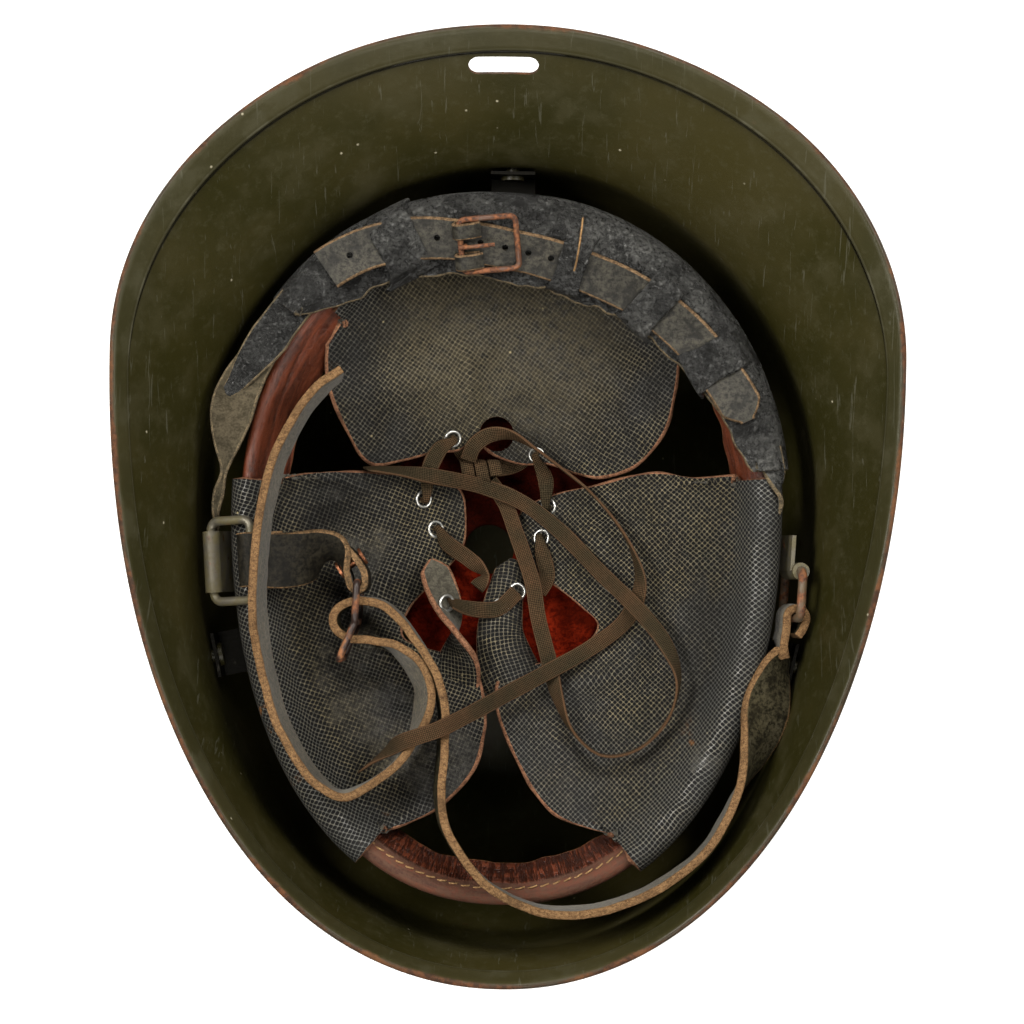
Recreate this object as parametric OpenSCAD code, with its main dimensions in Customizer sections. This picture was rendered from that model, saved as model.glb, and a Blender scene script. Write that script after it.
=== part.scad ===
// A pressed steel helmet that lies upturned on its crown, with its leather liner.
// +Z is up out of the opening, +Y is the wide rear, and the crown touches z = 0.

/* [Shell] */
// Width across the rim
shell_w = 240; // [232:1:256]
// Length from the front rim to the rear rim
shell_l = 293; // [288:1:308]
// Height of the side rim above the crown
shell_h = 166; // [160:1:176]
// Distance of the widest line behind the middle
shell_mid = 45.5; // [40:0.5:50]
// Thickness of the steel sheet
sheet_t = 1.2; // [0.9:0.1:1.6]
// How far the front rim lies below the side rim
front_dip = 15; // [4:1:22]
// How far the rear rim lies below the side rim
rear_dip = 6; // [0:1:14]
// Fullness of the dome, 2 is an ellipse
dome_full = 2.4; // [2.2:0.1:2.8]
// Place of the crown's lowest point along the length
crown_y = -6; // [-14:1:4]
// Width of the folded hem along the rim
hem_w = 6; // [4:0.5:8]
// Thickness of the hem's folded layer
hem_t = 1.3; // [0.8:0.1:1.8]
// Length of the slot in the rear flare
slot_l = 21.5; // [16:0.5:26]
// Height of the slot along the sheet
slot_h = 6; // [5:0.5:8]
// Distance of the slot's middle from the rear rim, along the sheet
slot_in = 13; // [12:0.5:18]
// How far the slot's middle lies to the left of the middle line
slot_off = 3; // [-4:0.5:4]

/* [Liner hoop] */
// Width of the hoop, outside
liner_w = 162; // [156:1:166]
// Length of the hoop, outside
liner_l = 213; // [207:1:218]
// Height of the hoop's upper edge above the crown
ring_z = 128; // [122:1:134]
// Height of the hoop band
hoop_h = 25; // [22:1:28]
// Thickness of the hoop band
hoop_t = 1; // [0.8:0.1:1.3]
// Gap between the hoop and the dome
gutter = 16; // [15:0.5:18]
// Width of a standoff strip
standoff_w = 14; // [10:1:16]
// Thickness of a standoff strip
standoff_t = 1; // [0.8:0.1:1.4]
// Radius of a liner rivet's shank
liner_pin_r = 1.5; // [1.2:0.1:2]

/* [Shell rivets] */
// Radius of the shank
rivet_r = 2.2; // [1.8:0.1:2.6]
// Radius of the domed head
rivet_head_r = 5.2; // [4.5:0.1:6]
// Height of the domed head
rivet_head_h = 2.2; // [1.6:0.1:3]

/* [Leather] */
// Thickness of the brow band's leather
brow_t = 1.5; // [1.2:0.1:1.7]
// Thickness of the pads' leather
pad_t = 2.1; // [1.6:0.1:2.3]
// Drop of the tongues below the hoop
pad_drop = 46; // [40:1:50]
// Depth of the pockets that the cushions press into the pads
pad_sag = 6; // [3:0.5:8]
// Thickness of a cushion
cushion_t = 10; // [7:0.5:12]
// Radius of the round hole in the rear pad
pad_hole_r = 5.5; // [4:0.5:7]
// Width of the crown pad
crown_pad_w = 76; // [70:1:78]
// Length of the crown pad
crown_pad_l = 96; // [88:1:98]
// Thickness of the crown pad
crown_pad_t = 3; // [2:0.5:4]
// Radius of the hole in the crown pad
crown_hole_r = 8; // [6:0.5:10]

/* [Lace] */
// Width of the flat lace
lace_w = 5.2; // [4.6:0.1:5.4]
// Thickness of the lace
lace_t = 1.1; // [0.8:0.1:1.2]
// Width of the lace where an eyelet gathers it
lace_gather = 2.3; // [2:0.1:2.4]

/* [Eyelets] */
// Inner radius
eyelet_r = 1.65; // [1.6:0.05:1.8]
// Outer radius
eyelet_rim_r = 3; // [2.7:0.1:3.4]
// Wall of the barrel
eyelet_wall = 0.4; // [0.3:0.05:0.5]

/* [Size band and strap] */
// Thickness of the band's leather
band_t = 1.7; // [1.4:0.1:1.9]
// Width of the strap
size_strap_w = 13.5; // [12:0.5:14]
// Thickness of the strap
size_strap_t = 1.5; // [1.2:0.1:1.7]
// Radius of the strap's punched holes
punch_r = 1; // [0.8:0.1:1.2]
// Length of the buckle along the strap, between its bars' middles
buckle_l = 17.5; // [15:0.5:20]
// Radius of the buckle's wire
buckle_wire_r = 0.9; // [0.7:0.05:1.1]

/* [Lugs and bails] */
// Length of a bail along its barrel, between its sides' middles
bail_l = 25; // [24:0.5:28]
// Distance from a bail's barrel bar to its free bar
bail_w = 14.5; // [13.5:0.1:15.5]
// Radius of a bail's wire
bail_wire_r = 1.4; // [1.2:0.05:1.5]
// Length of a lug's barrel
barrel_l = 19; // [16:0.5:20]
// Thickness of a lug's sheet
lug_t = 1.2; // [1:0.1:1.4]
// Radius of a lug rivet's shank
lug_pin_r = 1.6; // [1.2:0.1:2]

/* [Chinstrap] */
// Width of the straps
strap_w = 17; // [15:0.5:18.5]
// Thickness of the long strap
strap_t = 2.2; // [1.8:0.1:2.4]
// Thickness of the short strap
short_t = 2; // [1.6:0.1:2.1]
// Length of the slider
slider_l = 27; // [26:0.5:28]
// Thickness of the slider's sheet
slider_t = 1.5; // [1.2:0.1:1.7]
// Width of the slider's bars
slider_bar = 2.2; // [1.8:0.1:2.4]
// Radius of the strap rivet's shank
strap_pin_r = 1.5; // [1.2:0.1:1.8]

/* [Hidden] */
$fn = 48;

// Running clearance of a wire in its barrel, radial
run = 0.06;
// Gap between parts that lie on each other
lie = 0.3;
// Steps round the shell and round the liner's rings
around = 64;
ring_steps = 60;

// The liner's widest line, and the share of its length behind that line
liner_mid = 2.5;
rear_share = 0.42;
liner_rear = liner_l * rear_share;
liner_front = liner_l - liner_rear;
// Fullness of the hoop's and the rim's front curves
hoop_full = 2.2;
rim_full = 2.12;
// Sizes at which the leather's outlines are drawn, so that they follow the hoop
drawn_w = 162;
drawn_l = 213;
drawn_z = 128;
// Height where the dome turns into the flare
brow_z = ring_z - 8;
// Height of the shell rivets and of the rivets in the hoop
rivet_z = ring_z - 16;
hoop_rivet_z = ring_z - 17;
lug_rivet_z = ring_z - 20.6;
// Places round the hoop, in degrees from +X
side_rivet_a = 20;
rear_rivet_a = 90;
lug_left_a = 187.6;
lug_right_a = -5.2;
// The bowl that the pads hang in
tip_z = ring_z - pad_drop;
roll_z = ring_z + 3;
bowl_power = 1.1;

function mix(a, b, s) = a + (b - a) * s;
function unit(v) = v / norm(v);
function power(x, e) = sign(x) * pow(abs(x), e);
function turned(v, a) = [v.x * cos(a) - v.y * sin(a), v.x * sin(a) + v.y * cos(a)];

// Egg outline in plan: half an ellipse behind its widest line, a fuller curve before it
function egg(a, half, rear, front, mid, full) = sin(a) >= 0
    ? [half * cos(a), mid + rear * sin(a)]
    : [half * power(cos(a), 2 / full), mid + front * power(sin(a), 2 / full)];
function hoop_at(a, grow = 0) =
    egg(a, liner_w / 2 + grow, liner_rear + grow, liner_front + grow, liner_mid, hoop_full);
function rim_at(a) =
    egg(a, shell_w / 2, shell_l / 2 - shell_mid, shell_l / 2 + shell_mid, shell_mid, rim_full);
// Outward direction of the hoop, and a point inside or outside its face
function hoop_out(a) = let (d = hoop_at(a + 0.5) - hoop_at(a - 0.5)) unit([d.y, -d.x]);
function beside(a, inward, z) = let (p = hoop_at(a) - inward * hoop_out(a)) [p.x, p.y, z];
function out_angle(a) = atan2(hoop_out(a).y, hoop_out(a).x);
// A plan place drawn for the first hoop, moved with the hoop
function fit(x, y) = [x * liner_w / drawn_w, y * liner_l / drawn_l];
// Share of the way from the hoop's middle to the hoop
function share(x, y) = let (b = y >= liner_mid ? liner_rear : liner_front,
        e = y >= liner_mid ? 2 : hoop_full)
    pow(pow(abs(x) / (liner_w / 2), e) + pow(abs(y - liner_mid) / b, e), 1 / e);
function bowl(x, y) = tip_z + (roll_z - tip_z) * pow(min(share(x, y), 1), bowl_power);
// Drawn plan values and a lift over the bowl, to a place
function over(x, y, lift) = let (p = fit(x, y)) [p.x, p.y, bowl(p.x, p.y) + lift];
// A place drawn with its height above the crown, moved with the hoop
function placed(x, y, z) = let (p = fit(x, y)) [p.x, p.y, z + ring_z - drawn_z];

// Smooth curve through points of any length, with some steps between each two
function curve_at(p, i, s) = let (a = p[max(i - 1, 0)], b = p[i], c = p[i + 1],
        d = p[min(i + 2, len(p) - 1)])
    b + 0.5 * s * ((c - a) + s * ((2 * a - 5 * b + 4 * c - d) + s * (3 * b - 3 * c + d - a)));
function smooth(p, steps) = [for (i = [0 : len(p) - 2], k = [0 : steps - 1])
    curve_at(p, i, k / steps), p[len(p) - 1]];
function back(v) = [for (i = [len(v) - 1 : -1 : 0]) v[i]];

// Solid through rings of points. A ring runs out along one face and back along the other,
// so each end is closed by a strip from face to face.
module loft(rings) {
    n = len(rings[0]);
    m = len(rings);
    sides = [for (i = [0 : m - 2], j = [0 : n - 1])
        let (a = i * n + j, b = i * n + (j + 1) % n) each [[a, a + n, b + n], [a, b + n, b]]];
    ends = [for (j = [0 : n / 2 - 2]) let (k = n - 1 - j, e = (m - 1) * n)
        each [[j, j + 1, k], [j + 1, k - 1, k],
            [e + j, e + k, e + j + 1], [e + j + 1, e + k, e + k - 1]]];
    polyhedron([for (r = rings) each r], concat(sides, ends));
}

// Solid through rings that run round and meet again
module loop_loft(rings) {
    n = len(rings[0]);
    m = len(rings);
    polyhedron([for (r = rings) each r],
        [for (i = [0 : m - 1], j = [0 : n - 1])
            let (k = (j + 1) % n, next = (i + 1) % m, a = i * n + j, b = i * n + k,
                c = next * n + j, d = next * n + k) each [[a, c, d], [a, d, b]]]);
}

// Rings of a flat band along stations [x, y, z, roll, heading, width, thickness].
// At roll 0 the band lies flat across its heading, and at 90 it stands on its edge.
CORNERS = [[1, 1], [-1, 1], [-1, -1], [1, -1]];
FLAT_OVAL = [[1, 0], [0.7, 1], [0, 1], [-0.7, 1], [-1, 0], [-0.7, -1], [0, -1], [0.7, -1]];
ARCH = [[1, -5], [0.85, -1.6], [0, 1], [-0.85, -1.6], [-1, -5], [-0.75, -5], [-0.6, -2.4],
    [0, -1], [0.6, -2.4], [0.75, -5]];
function band_rings(st, section) = [for (i = [0 : len(st) - 1])
    let (p = st[i], q = st[max(i - 1, 0)], r = st[min(i + 1, len(st) - 1)],
        t = unit([r.x - q.x, r.y - q.y, r.z - q.z]),
        lay = [-cos(p[3]) * sin(p[4]), cos(p[3]) * cos(p[4]), sin(p[3])],
        wide = unit(lay - (lay * t) * t), thick = cross(t, wide))
    [for (c = section) [p.x, p.y, p.z] + wide * c.x * p[5] / 2 + thick * c.y * p[6] / 2]];

// Local place on the hoop's face: +X points outward, +Y runs round, +Z is up
module on_hoop(a, z = 0) {
    p = hoop_at(a);
    translate([p.x, p.y, z]) rotate(out_angle(a)) children();
}

module along_x(r, from, to) {
    translate([from, 0, 0]) rotate([0, 90, 0]) cylinder(r = r, h = to - from);
}

// Upper surface of the shell's sheet as pressed, seen from outside.
// s from 0 to 1 is the dome, from 1 to 2 the flare.
flare_power = 1.5;
crown_s = 0.06;
function rim_z(a) = shell_h - (sin(a) < 0 ? front_dip : rear_dip) * pow(sin(a), 2);
function shell_at(a, s) = let (brow = hoop_at(a, gutter + sheet_t), pole = [0, crown_y])
    s <= 1
    ? let (p = mix(pole, brow, pow(sin(90 * s), 2 / dome_full)))
        [p.x, p.y, brow_z * (1 - pow(cos(90 * s) / cos(90 * crown_s), 2 / dome_full))]
    : let (p = mix(brow, rim_at(a), pow(s - 1, flare_power)))
        [p.x, p.y, mix(brow_z, rim_z(a), s - 1)];
function shell_in(a, s) = unit(cross(
    shell_at(a, min(s + 0.004, 2)) - shell_at(a, s - 0.004),
    shell_at(a + 0.5, s) - shell_at(a - 0.5, s)));
function inside(a, s, deep) = shell_at(a, s) + deep * shell_in(a, s);
dome_steps = 12;
flare_steps = 6;
hem_share = 1 - hem_w / (shell_h - brow_z);
shell_s = concat([crown_s], [for (i = [1 : dome_steps]) i / dome_steps],
    [for (i = [1 : flare_steps - 1]) 1 + i / flare_steps * hem_share]);
function shell_ring(s, deep) =
    [for (i = [0 : around - 1]) inside(360 * i / around, s, deep)];

module shell_sheet() {
    hem_s = 1 + hem_share;
    rim = [shell_ring(hem_s, 0), shell_ring(1.97, 0), shell_ring(2, sheet_t / 2),
        shell_ring(2, sheet_t), shell_ring(1.97, sheet_t + hem_t),
        shell_ring(hem_s + 0.02, sheet_t + hem_t), shell_ring(hem_s, sheet_t)];
    loft(concat([for (s = shell_s) shell_ring(s, 0)], rim,
        [for (s = back(shell_s)) shell_ring(s, sheet_t)]));
}

// Place of the slot: on the rear middle line, square to the sheet
rear_fall = shell_in(90, 1.7);
slot_tilt = atan2(-rear_fall.y, rear_fall.z);
slot_s = 2 - slot_in / norm(shell_at(90, 2) - shell_at(90, 1.5)) / 2;
module rear_slot(clear = 0) {
    translate(inside(90, slot_s, sheet_t / 2) - [slot_off, 0, 0]) rotate([slot_tilt, 0, 0]) {
        cube([slot_l - slot_h, slot_h, 5 * sheet_t], center = true);
        for (side = [-1, 1])
            translate([side * (slot_l - slot_h) / 2, 0, 0])
                cylinder(r = slot_h / 2, h = 5 * sheet_t, center = true);
    }
}

module at_shell_rivets() {
    for (a = [180 + side_rivet_a, -side_rivet_a, rear_rivet_a])
        on_hoop(a, rivet_z) children();
}

module shell() {
    color("darkolivegreen") difference() {
        shell_sheet();
        rear_slot();
        at_shell_rivets() along_x(rivet_r + 0.1, gutter - 6, gutter + 6);
    }
}

// The dome leans in a little between the brow and the rivets
dome_lean = 0.9;
module shell_rivet() {
    seat = gutter + sheet_t + 0.1;
    ball = (pow(rivet_head_r, 2) + pow(rivet_head_h, 2)) / 2 / rivet_head_h;
    tab = gutter - dome_lean - lie - standoff_t;
    along_x(rivet_r, tab - 1, seat + 0.2);
    along_x(rivet_r + 1.4, tab - 1.3, tab - 0.05);
    translate([seat, 0, 0]) rotate([0, 90, 0]) rotate_extrude() intersection() {
        translate([0, rivet_head_h - ball]) circle(r = ball);
        square([rivet_head_r, 2 * rivet_head_h]);
    }
}
module shell_rivets() {
    color("olivedrab") at_shell_rivets() shell_rivet();
}

// A strip bent to a trough: one leg on the hoop, one leg on the dome
standoff_h = 15;
module standoff(a) {
    from = 0.15;
    to = gutter - dome_lean - lie;
    top = hoop_rivet_z + standoff_h / 2 - ring_z;
    low = top - standoff_h;
    color("dimgray") on_hoop(a, ring_z) difference() {
        translate([0, standoff_w / 2, 0]) rotate([90, 0, 0])
            linear_extrude(height = standoff_w)
                polygon([[from, top], [from, low], [to, low], [to, top],
                    [to - standoff_t, top], [to - standoff_t, low + standoff_t],
                    [from + standoff_t, low + standoff_t], [from + standoff_t, top]]);
        translate([0, 0, rivet_z - ring_z]) along_x(rivet_r + 0.1, gutter - 5, gutter + 5);
        translate([0, 0, hoop_rivet_z - ring_z]) along_x(liner_pin_r + 0.1, -3, 4);
    }
}
module standoff_left() { standoff(180 + side_rivet_a); }
module standoff_right() { standoff(-side_rivet_a); }
module standoff_rear() { standoff(rear_rivet_a); }

function hoop_outline(grow) = [for (i = [0 : ring_steps - 1]) hoop_at(360 * i / ring_steps, grow)];
module liner_hoop() {
    color("gray") difference() {
        translate([0, 0, ring_z - hoop_h]) linear_extrude(height = hoop_h) difference() {
            polygon(hoop_outline(0));
            polygon(hoop_outline(-hoop_t));
        }
        at_shell_rivets() translate([0, 0, hoop_rivet_z - rivet_z])
            along_x(liner_pin_r + 0.1, -4, 4);
        for (a = [lug_left_a, lug_right_a])
            on_hoop(a, lug_rivet_z) along_x(lug_pin_r + 0.1, -4, 4);
    }
}

// A small rivet: its shank from inside the hoop to outside the strip, a flat head each side
module flat_rivet(r, inner, outer) {
    along_x(r, inner - 0.6, outer + 0.6);
    along_x(r + 1.3, inner - 0.8, inner);
    along_x(r + 1.3, outer, outer + 0.8);
}
module hoop_rivets() {
    color("gray") at_shell_rivets() translate([0, 0, hoop_rivet_z - rivet_z])
        flat_rivet(liner_pin_r, -hoop_t - 0.3, standoff_t + 0.2);
}

// Section of the brow band as [inward, above the hoop's edge], outer face then inner face
brow_top = [[-0.2 - brow_t, -7], [-0.2 - brow_t, -1], [-0.1 - brow_t * 0.7, 0.9], [0.5, 0.2 + brow_t],
    [2.5, 1.1], [5.5, -1.9], [8.5, -6.4], [11, -11]];
brow_under = [[11 - brow_t, -11.4], [8.6 - brow_t, -7.2], [5.9 - brow_t, -3], [3.4 - brow_t, -0.4],
    [0.6, 0.2], [-0.1, 0.15], [-0.2, -0.4], [-0.2, -7]];
module brow_leather() {
    color("saddlebrown") loop_loft([for (i = [0 : ring_steps - 1])
        [for (p = concat(brow_top, brow_under)) beside(-360 * i / ring_steps, p.x, ring_z + p.y)]]);
}

// The pads. A station is [x, y, angle on the hoop, lift] along the cut edge.
// Each section starts under the roll's outside, goes over the hoop and down to the edge.
roll_top = [[-5, -13], [-5.1, -5], [-4.3, 1.2], [-1.7, 4.2], [1.8, 4.6], [5.5, 2.1]];
tuck_top = [[5.5, 1.9], [7, 0.6]];
roll_end = 9;
pad_steps = 6;
function pad_sink(s, u) = pad_sag * sin(180 * min(s / 0.62, 1)) * sin(180 * u);
function pad_point(st, u, s) = let (a = st[2], q = beside(a, roll_end, 0), e = fit(st.x, st.y),
        p = mix([q.x, q.y], e, s))
    [p.x, p.y, bowl(p.x, p.y) - pad_sink(s, u) + st[3] * s * s];
function pad_under(line) = [for (p = back(line)) p + pad_t * (p.x < -3 ? [1, -0.25]
    : p.x < 0 ? [0.45, -0.9] : p.x < 3 ? [-0.1, -1] : [-0.45, -0.95])];
function pad_section(st, u, start) = concat(
    [for (p = start) beside(st[2], p.x, ring_z + p.y)],
    [for (k = [0 : pad_steps]) pad_point(st, u, k / pad_steps)],
    [for (k = [pad_steps : -1 : 0]) pad_point(st, u, k / pad_steps) - [0, 0, 1.12 * pad_t]],
    [for (p = pad_under(start)) beside(st[2], p.x, ring_z + p.y)]);
module pad_body(edge, start, steps) {
    st = smooth(edge, steps);
    last = len(st) - 1;
    loft([for (i = [0 : last]) pad_section(st[i], i / last, start)]);
}

// A flat cushion under a pad, thin at its rim and full in the middle.
// Its columns lie between the pad's own first and third rows.
cushion_rows = [1, 1.5, 2, 2.5, 3];
module cushion_body(edge, from, to) {
    st = smooth(edge, 2);
    last = len(st) - 1;
    rows = [for (i = [0 : last]) if (i / last >= from && i / last <= to) i];
    function fat(u, k) = cushion_t * pow(sin(180 * mix(0.06, 0.94, u)), 0.5)
        * pow(sin(180 * mix(0.06, 0.94, k)), 0.5);
    function top(i, k) = mix(pad_point(st[i], i / last, floor(k) / pad_steps),
        pad_point(st[i], i / last, ceil(k) / pad_steps), k - floor(k))
        - [0, 0, 1.12 * pad_t + 2 * lie];
    loft([for (j = [0 : len(rows) - 1]) let (i = rows[j], u = j / (len(rows) - 1)) concat(
        [for (k = cushion_rows) top(i, k)],
        [for (k = back(cushion_rows)) top(i, k) - [0, 0, fat(u, (k - 1) / 2)]])]);
}

// Cut edges, from the rear round to the front on the left and from the front back on the right
left_edge = [[-35, -100, 241, 0], [-28, -98, 238, 0], [-19, -93, 235, 1], [-9, -82, 231, 2],
    [-5.5, -70, 226, 3], [-5.5, -62, 221, 3], [-8, -52, 215, 2], [-14, -46, 210, 1],
    [-24, -44, 204, 0], [-32, -40, 200, 0], [-30, -31, 196.5, 0], [-21, -21, 193, 0],
    [-14, -12, 189.5, 1], [-13, -2, 186.5, 1], [-15, 7, 184, 1], [-24, 10, 182, 1],
    [-45, 11.5, 179.5, 1], [-60, 11, 178, 0], [-71, 8.5, 176.5, 0]];
right_edge = [[70, 9.5, 3.5, 0], [58, 10, 2, 0], [44, 12, 0, 0], [29, 8.6, -2, 0],
    [14, 6, -4, 1], [4, 1, -6.5, 1], [2, -9, -9.5, 1], [7, -17, -13, 0],
    [15, -23, -16, 0], [24, -30, -19.5, 0], [29, -36, -23, 0], [22, -44, -28, 0],
    [10, -48, -33, 1], [-1, -51, -38, 2], [-2.5, -62, -43, 3], [3, -76, -48, 2],
    [10, -88, -52.5, 1], [17, -95, -56, 0], [28, -99, -59, 0], [35, -100, -62, 0]];
rear_edge = [[-57, 50, 136.5, 0], [-56.5, 38, 134, 0], [-51, 24, 130, 0], [-44, 14, 126, 0],
    [-34, 15, 121, 1], [-24, 18, 116, 2], [-16, 19, 111, 3], [-10, 23, 106, 4], [-5, 18, 101, 2],
    [4, 15, 94, 1], [13, 15, 86, 1], [22, 12, 79, 1], [30, 11, 72, 0], [41, 15, 64, 0],
    [49, 25, 57, 0], [52, 37, 52, 0], [53, 48, 49.5, 0]];

// A tongue is a band [x, y, lift, roll, heading, width] over the bowl, from root to tip
function tongue(st) = [for (p = smooth(st, 3)) let (q = over(p.x, p.y, p[2] - pad_t / 2))
    [q.x, q.y, q.z, p[3], p[4], p[5], pad_t]];
left_tongue = [[-16, -60, -1.4, 0, 95, 14], [-15, -53, 2.6, -10, 97, 15],
    [-15, -46, 6.5, -40, 100, 15], [-16, -39, 9.5, -85, 105, 13.5],
    [-18, -32, 10.5, -125, 110, 12], [-21, -24, 10, -150, 112, 10], [-24, -16, 8, -160, 114, 5]];
right_tongue = [[7, -62, -1.4, 0, 95, 15], [4, -54, 3.4, 0, 95, 20], [1, -46, 5, 0, 93, 20],
    [0, -38, 5.5, 0, 88, 18],
    [0, -30, 6, 0, 85, 14.5], [1.5, -22, 5.5, 0, 80, 11.5], [2.5, -16, 4, 0, 80, 8.5]];

// Eyelets: [x, y, lift of the leather, lean to +X, lean to +Y]
left_eyelets = [[-27, 3.5, 0.9, 29, 0], [-23, -6, 0.8, 29, 6]];
right_eyelets = [[13, 2, 0.7, -27, 0], [11, -8, 0.6, -24, 12]];
rear_eyelets = [[-18, 23, 2.2, 18, -18], [9, 18.5, 1, -16, -23]];
rear_hole = [-4, 25, 0.5];
// How far a hole's cutter reaches above and below the leather
hole_reach = 10;
seat_low = 6;
seat_high = 5;
module at_eyelets(list) {
    for (e = list) translate(over(e.x, e.y, e[2])) rotate([-e[4], e[3], 0]) children();
}
module eyelet() {
    out = eyelet_r + eyelet_wall;
    rotate_extrude() {
        translate([eyelet_r, -pad_t - 1.4]) square([eyelet_wall, pad_t + 1.9]);
        translate([eyelet_rim_r - 0.75, 0.8]) circle(r = 0.6, $fn = 24);
        translate([eyelet_r, 0.25]) square([eyelet_rim_r - eyelet_r - 0.6, 0.5]);
        translate([eyelet_r, -pad_t - 1.6]) square([eyelet_rim_r - eyelet_r, 0.5]);
    }
}
// Room for an eyelet: its hole, and flat seats for its two rims
module eyelet_hole() {
    cylinder(r = eyelet_r + eyelet_wall + 0.1, h = 2 * seat_low, center = true);
    translate([0, 0, 0.1]) cylinder(r = eyelet_rim_r + 0.1, h = seat_high);
    translate([0, 0, -pad_t - seat_low]) cylinder(r = eyelet_rim_r + 0.1, h = seat_high);
}

module pad_left() {
    color("darkslategray") difference() {
        union() {
            pad_body(left_edge, roll_top, 2);
            loft(band_rings(tongue(left_tongue), CORNERS));
        }
        at_eyelets(left_eyelets) eyelet_hole();
    }
}
module pad_right() {
    color("darkslategray") difference() {
        union() {
            pad_body(right_edge, roll_top, 2);
            loft(band_rings(tongue(right_tongue), ARCH));
        }
        at_eyelets(right_eyelets) eyelet_hole();
    }
}
module pad_rear() {
    hole = over(rear_hole.x, rear_hole.y, rear_hole.z);
    color("darkslategray") difference() {
        pad_body(rear_edge, tuck_top, 2);
        at_eyelets(rear_eyelets) eyelet_hole();
        translate([hole.x, hole.y, hole.z]) cylinder(r = pad_hole_r, h = 2 * hole_reach, center = true);
    }
}
module cushion_left() { color("tan") cushion_body(left_edge, 0.12, 0.84); }
module cushion_right() { color("tan") cushion_body(right_edge, 0.16, 0.88); }
module cushion_rear() { color("tan") cushion_body(rear_edge, 0.12, 0.88); }
module eyelets_left() { color("gainsboro") at_eyelets(left_eyelets) eyelet(); }
module eyelets_right() { color("gainsboro") at_eyelets(right_eyelets) eyelet(); }
module eyelets_rear() { color("gainsboro") at_eyelets(rear_eyelets) eyelet(); }

// A dished disc under the tongues, with a round hole
crown_drop = 6.25;
crown_hole = [-6, -12];
crown_mid = [-2, -10];
module crown_pad() {
    function top(x, y) = bowl(x, y) - crown_drop - 8 * pow(share(x, y), 2);
    function spoke(a) = [for (k = [0 : 3])
        let (p = mix(fit(crown_hole.x, crown_hole.y) + crown_hole_r * [cos(a), sin(a)],
            crown_mid + [crown_pad_w / 2 * cos(a), crown_pad_l / 2 * sin(a)], k / 3))
        [p.x, p.y, top(p.x, p.y)]];
    color("firebrick") loop_loft([for (i = [0 : 23]) let (s = spoke(-15 * i))
        concat(back(s), [for (p = s) p - [0, 0, crown_pad_t]])]);
}

// Section of the size band as [inward, above the hoop's edge]; its top slopes down inward
BAND_TOP = [[-7.4, -12], [-7.4, -4], [-6.2, 1.5], [-3.6, 5.4], [0, 7.1], [3, 7.2]];
band_slope = 0.4;
function band_top(n) = n > 3 ? 7.2 - band_slope * (n - 3) : lookup(n, BAND_TOP);
function band_under(p) = p + band_t * (p.x < -6 ? [1, 0] : p.x < -3 ? [0.8, -0.6] : [0, -1]);
// Stations of the size band as [angle on the hoop, bulge outward, reach inward]
size_band = [[175.5, 4.5, 4], [169, 6, 5.5], [160, 6.2, 8], [150, 6, 11.5], [138, 5.4, 20.5],
    [126, 5, 23], [114, 3.5, 22.5], [102, 1.5, 22], [90, 0, 22], [76, 0, 22], [62, 0, 21.5],
    [50, 0, 20], [38, 0, 17], [27, 0, 14], [17, 0, 11], [9, 0, 8.5], [2, 0, 7]];
function band_line(reach) = concat(BAND_TOP,
    [for (k = [1 : 3]) let (n = mix(3, reach, k / 3)) [n, band_top(n)]]);
function band_section(st) = let (line = band_line(st[2]))
    [for (p = concat(line, [for (q = back(line)) band_under(q)]))
        beside(st[0], p.x - st[1], ring_z + p.y)];
function band_bulge(a) = lookup(a, [for (s = back(size_band)) [s[0], s[1]]]);

// Stations of the size strap as [angle on the hoop, inward]
size_strap = [[133, 11], [126, 11.5], [116, 12], [106, 13], [96, 13.5], [86, 13.5], [76, 13],
    [66, 12.5], [56, 11], [47, 9.5], [39, 8.5], [31, 8], [25, 8]];
strap_roll = atan(band_slope);
function strap_point(a, n, lift) = beside(a, n - band_bulge(a), ring_z + band_top(n) + lift);
strap_lift = lie + 0.2;
function strap_inward(a) = lookup(a, [for (s = back(size_strap)) s]);
// Local place on the strap: +X outward across it, +Y along it, +Z off its face
module on_size_strap(a, lift = 0) {
    translate(strap_point(a, strap_inward(a), strap_lift + size_strap_t + lift))
        rotate(out_angle(a)) rotate([0, -strap_roll, 0]) children();
}
module keeper(a, w) {
    n = strap_inward(a);
    half = size_strap_w / 2 + 4.1;
    rise = [[-half - 2, -0.6], [-half, 0.6], [-half + 2.4, size_strap_t + 2.4],
        [0, size_strap_t + 2.6], [half - 2.4, size_strap_t + 2.4], [half, 0.4], [half + 2, -0.8]];
    h = out_angle(a) + 180;
    loft(band_rings([for (p = rise) let (q = strap_point(a, n + p.x * cos(strap_roll), p.y))
        [q.x, q.y, q.z, 0, h, w, 1.4]], CORNERS));
}
keepers = [[121, 12], [70, 8], [51, 6], [35.5, 6]];
module sizing_band() {
    color("slategray") {
        loft([for (s = smooth(size_band, 2)) band_section(s)]);
        for (k = keepers) keeper(k[0], k[1]);
    }
}
punched = [110, 97.6, 91.5, 85.4, 79.3];
module sizing_strap() {
    color("darkslategray") difference() {
        loft(band_rings([for (s = smooth(size_strap, 2))
            let (p = strap_point(s[0], s[1], strap_lift + size_strap_t / 2))
            [p.x, p.y, p.z, -strap_roll, out_angle(s[0]) + 90, size_strap_w, size_strap_t]],
            CORNERS));
        for (a = punched) on_size_strap(a) cylinder(r = punch_r, h = 8, center = true);
    }
}

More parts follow.
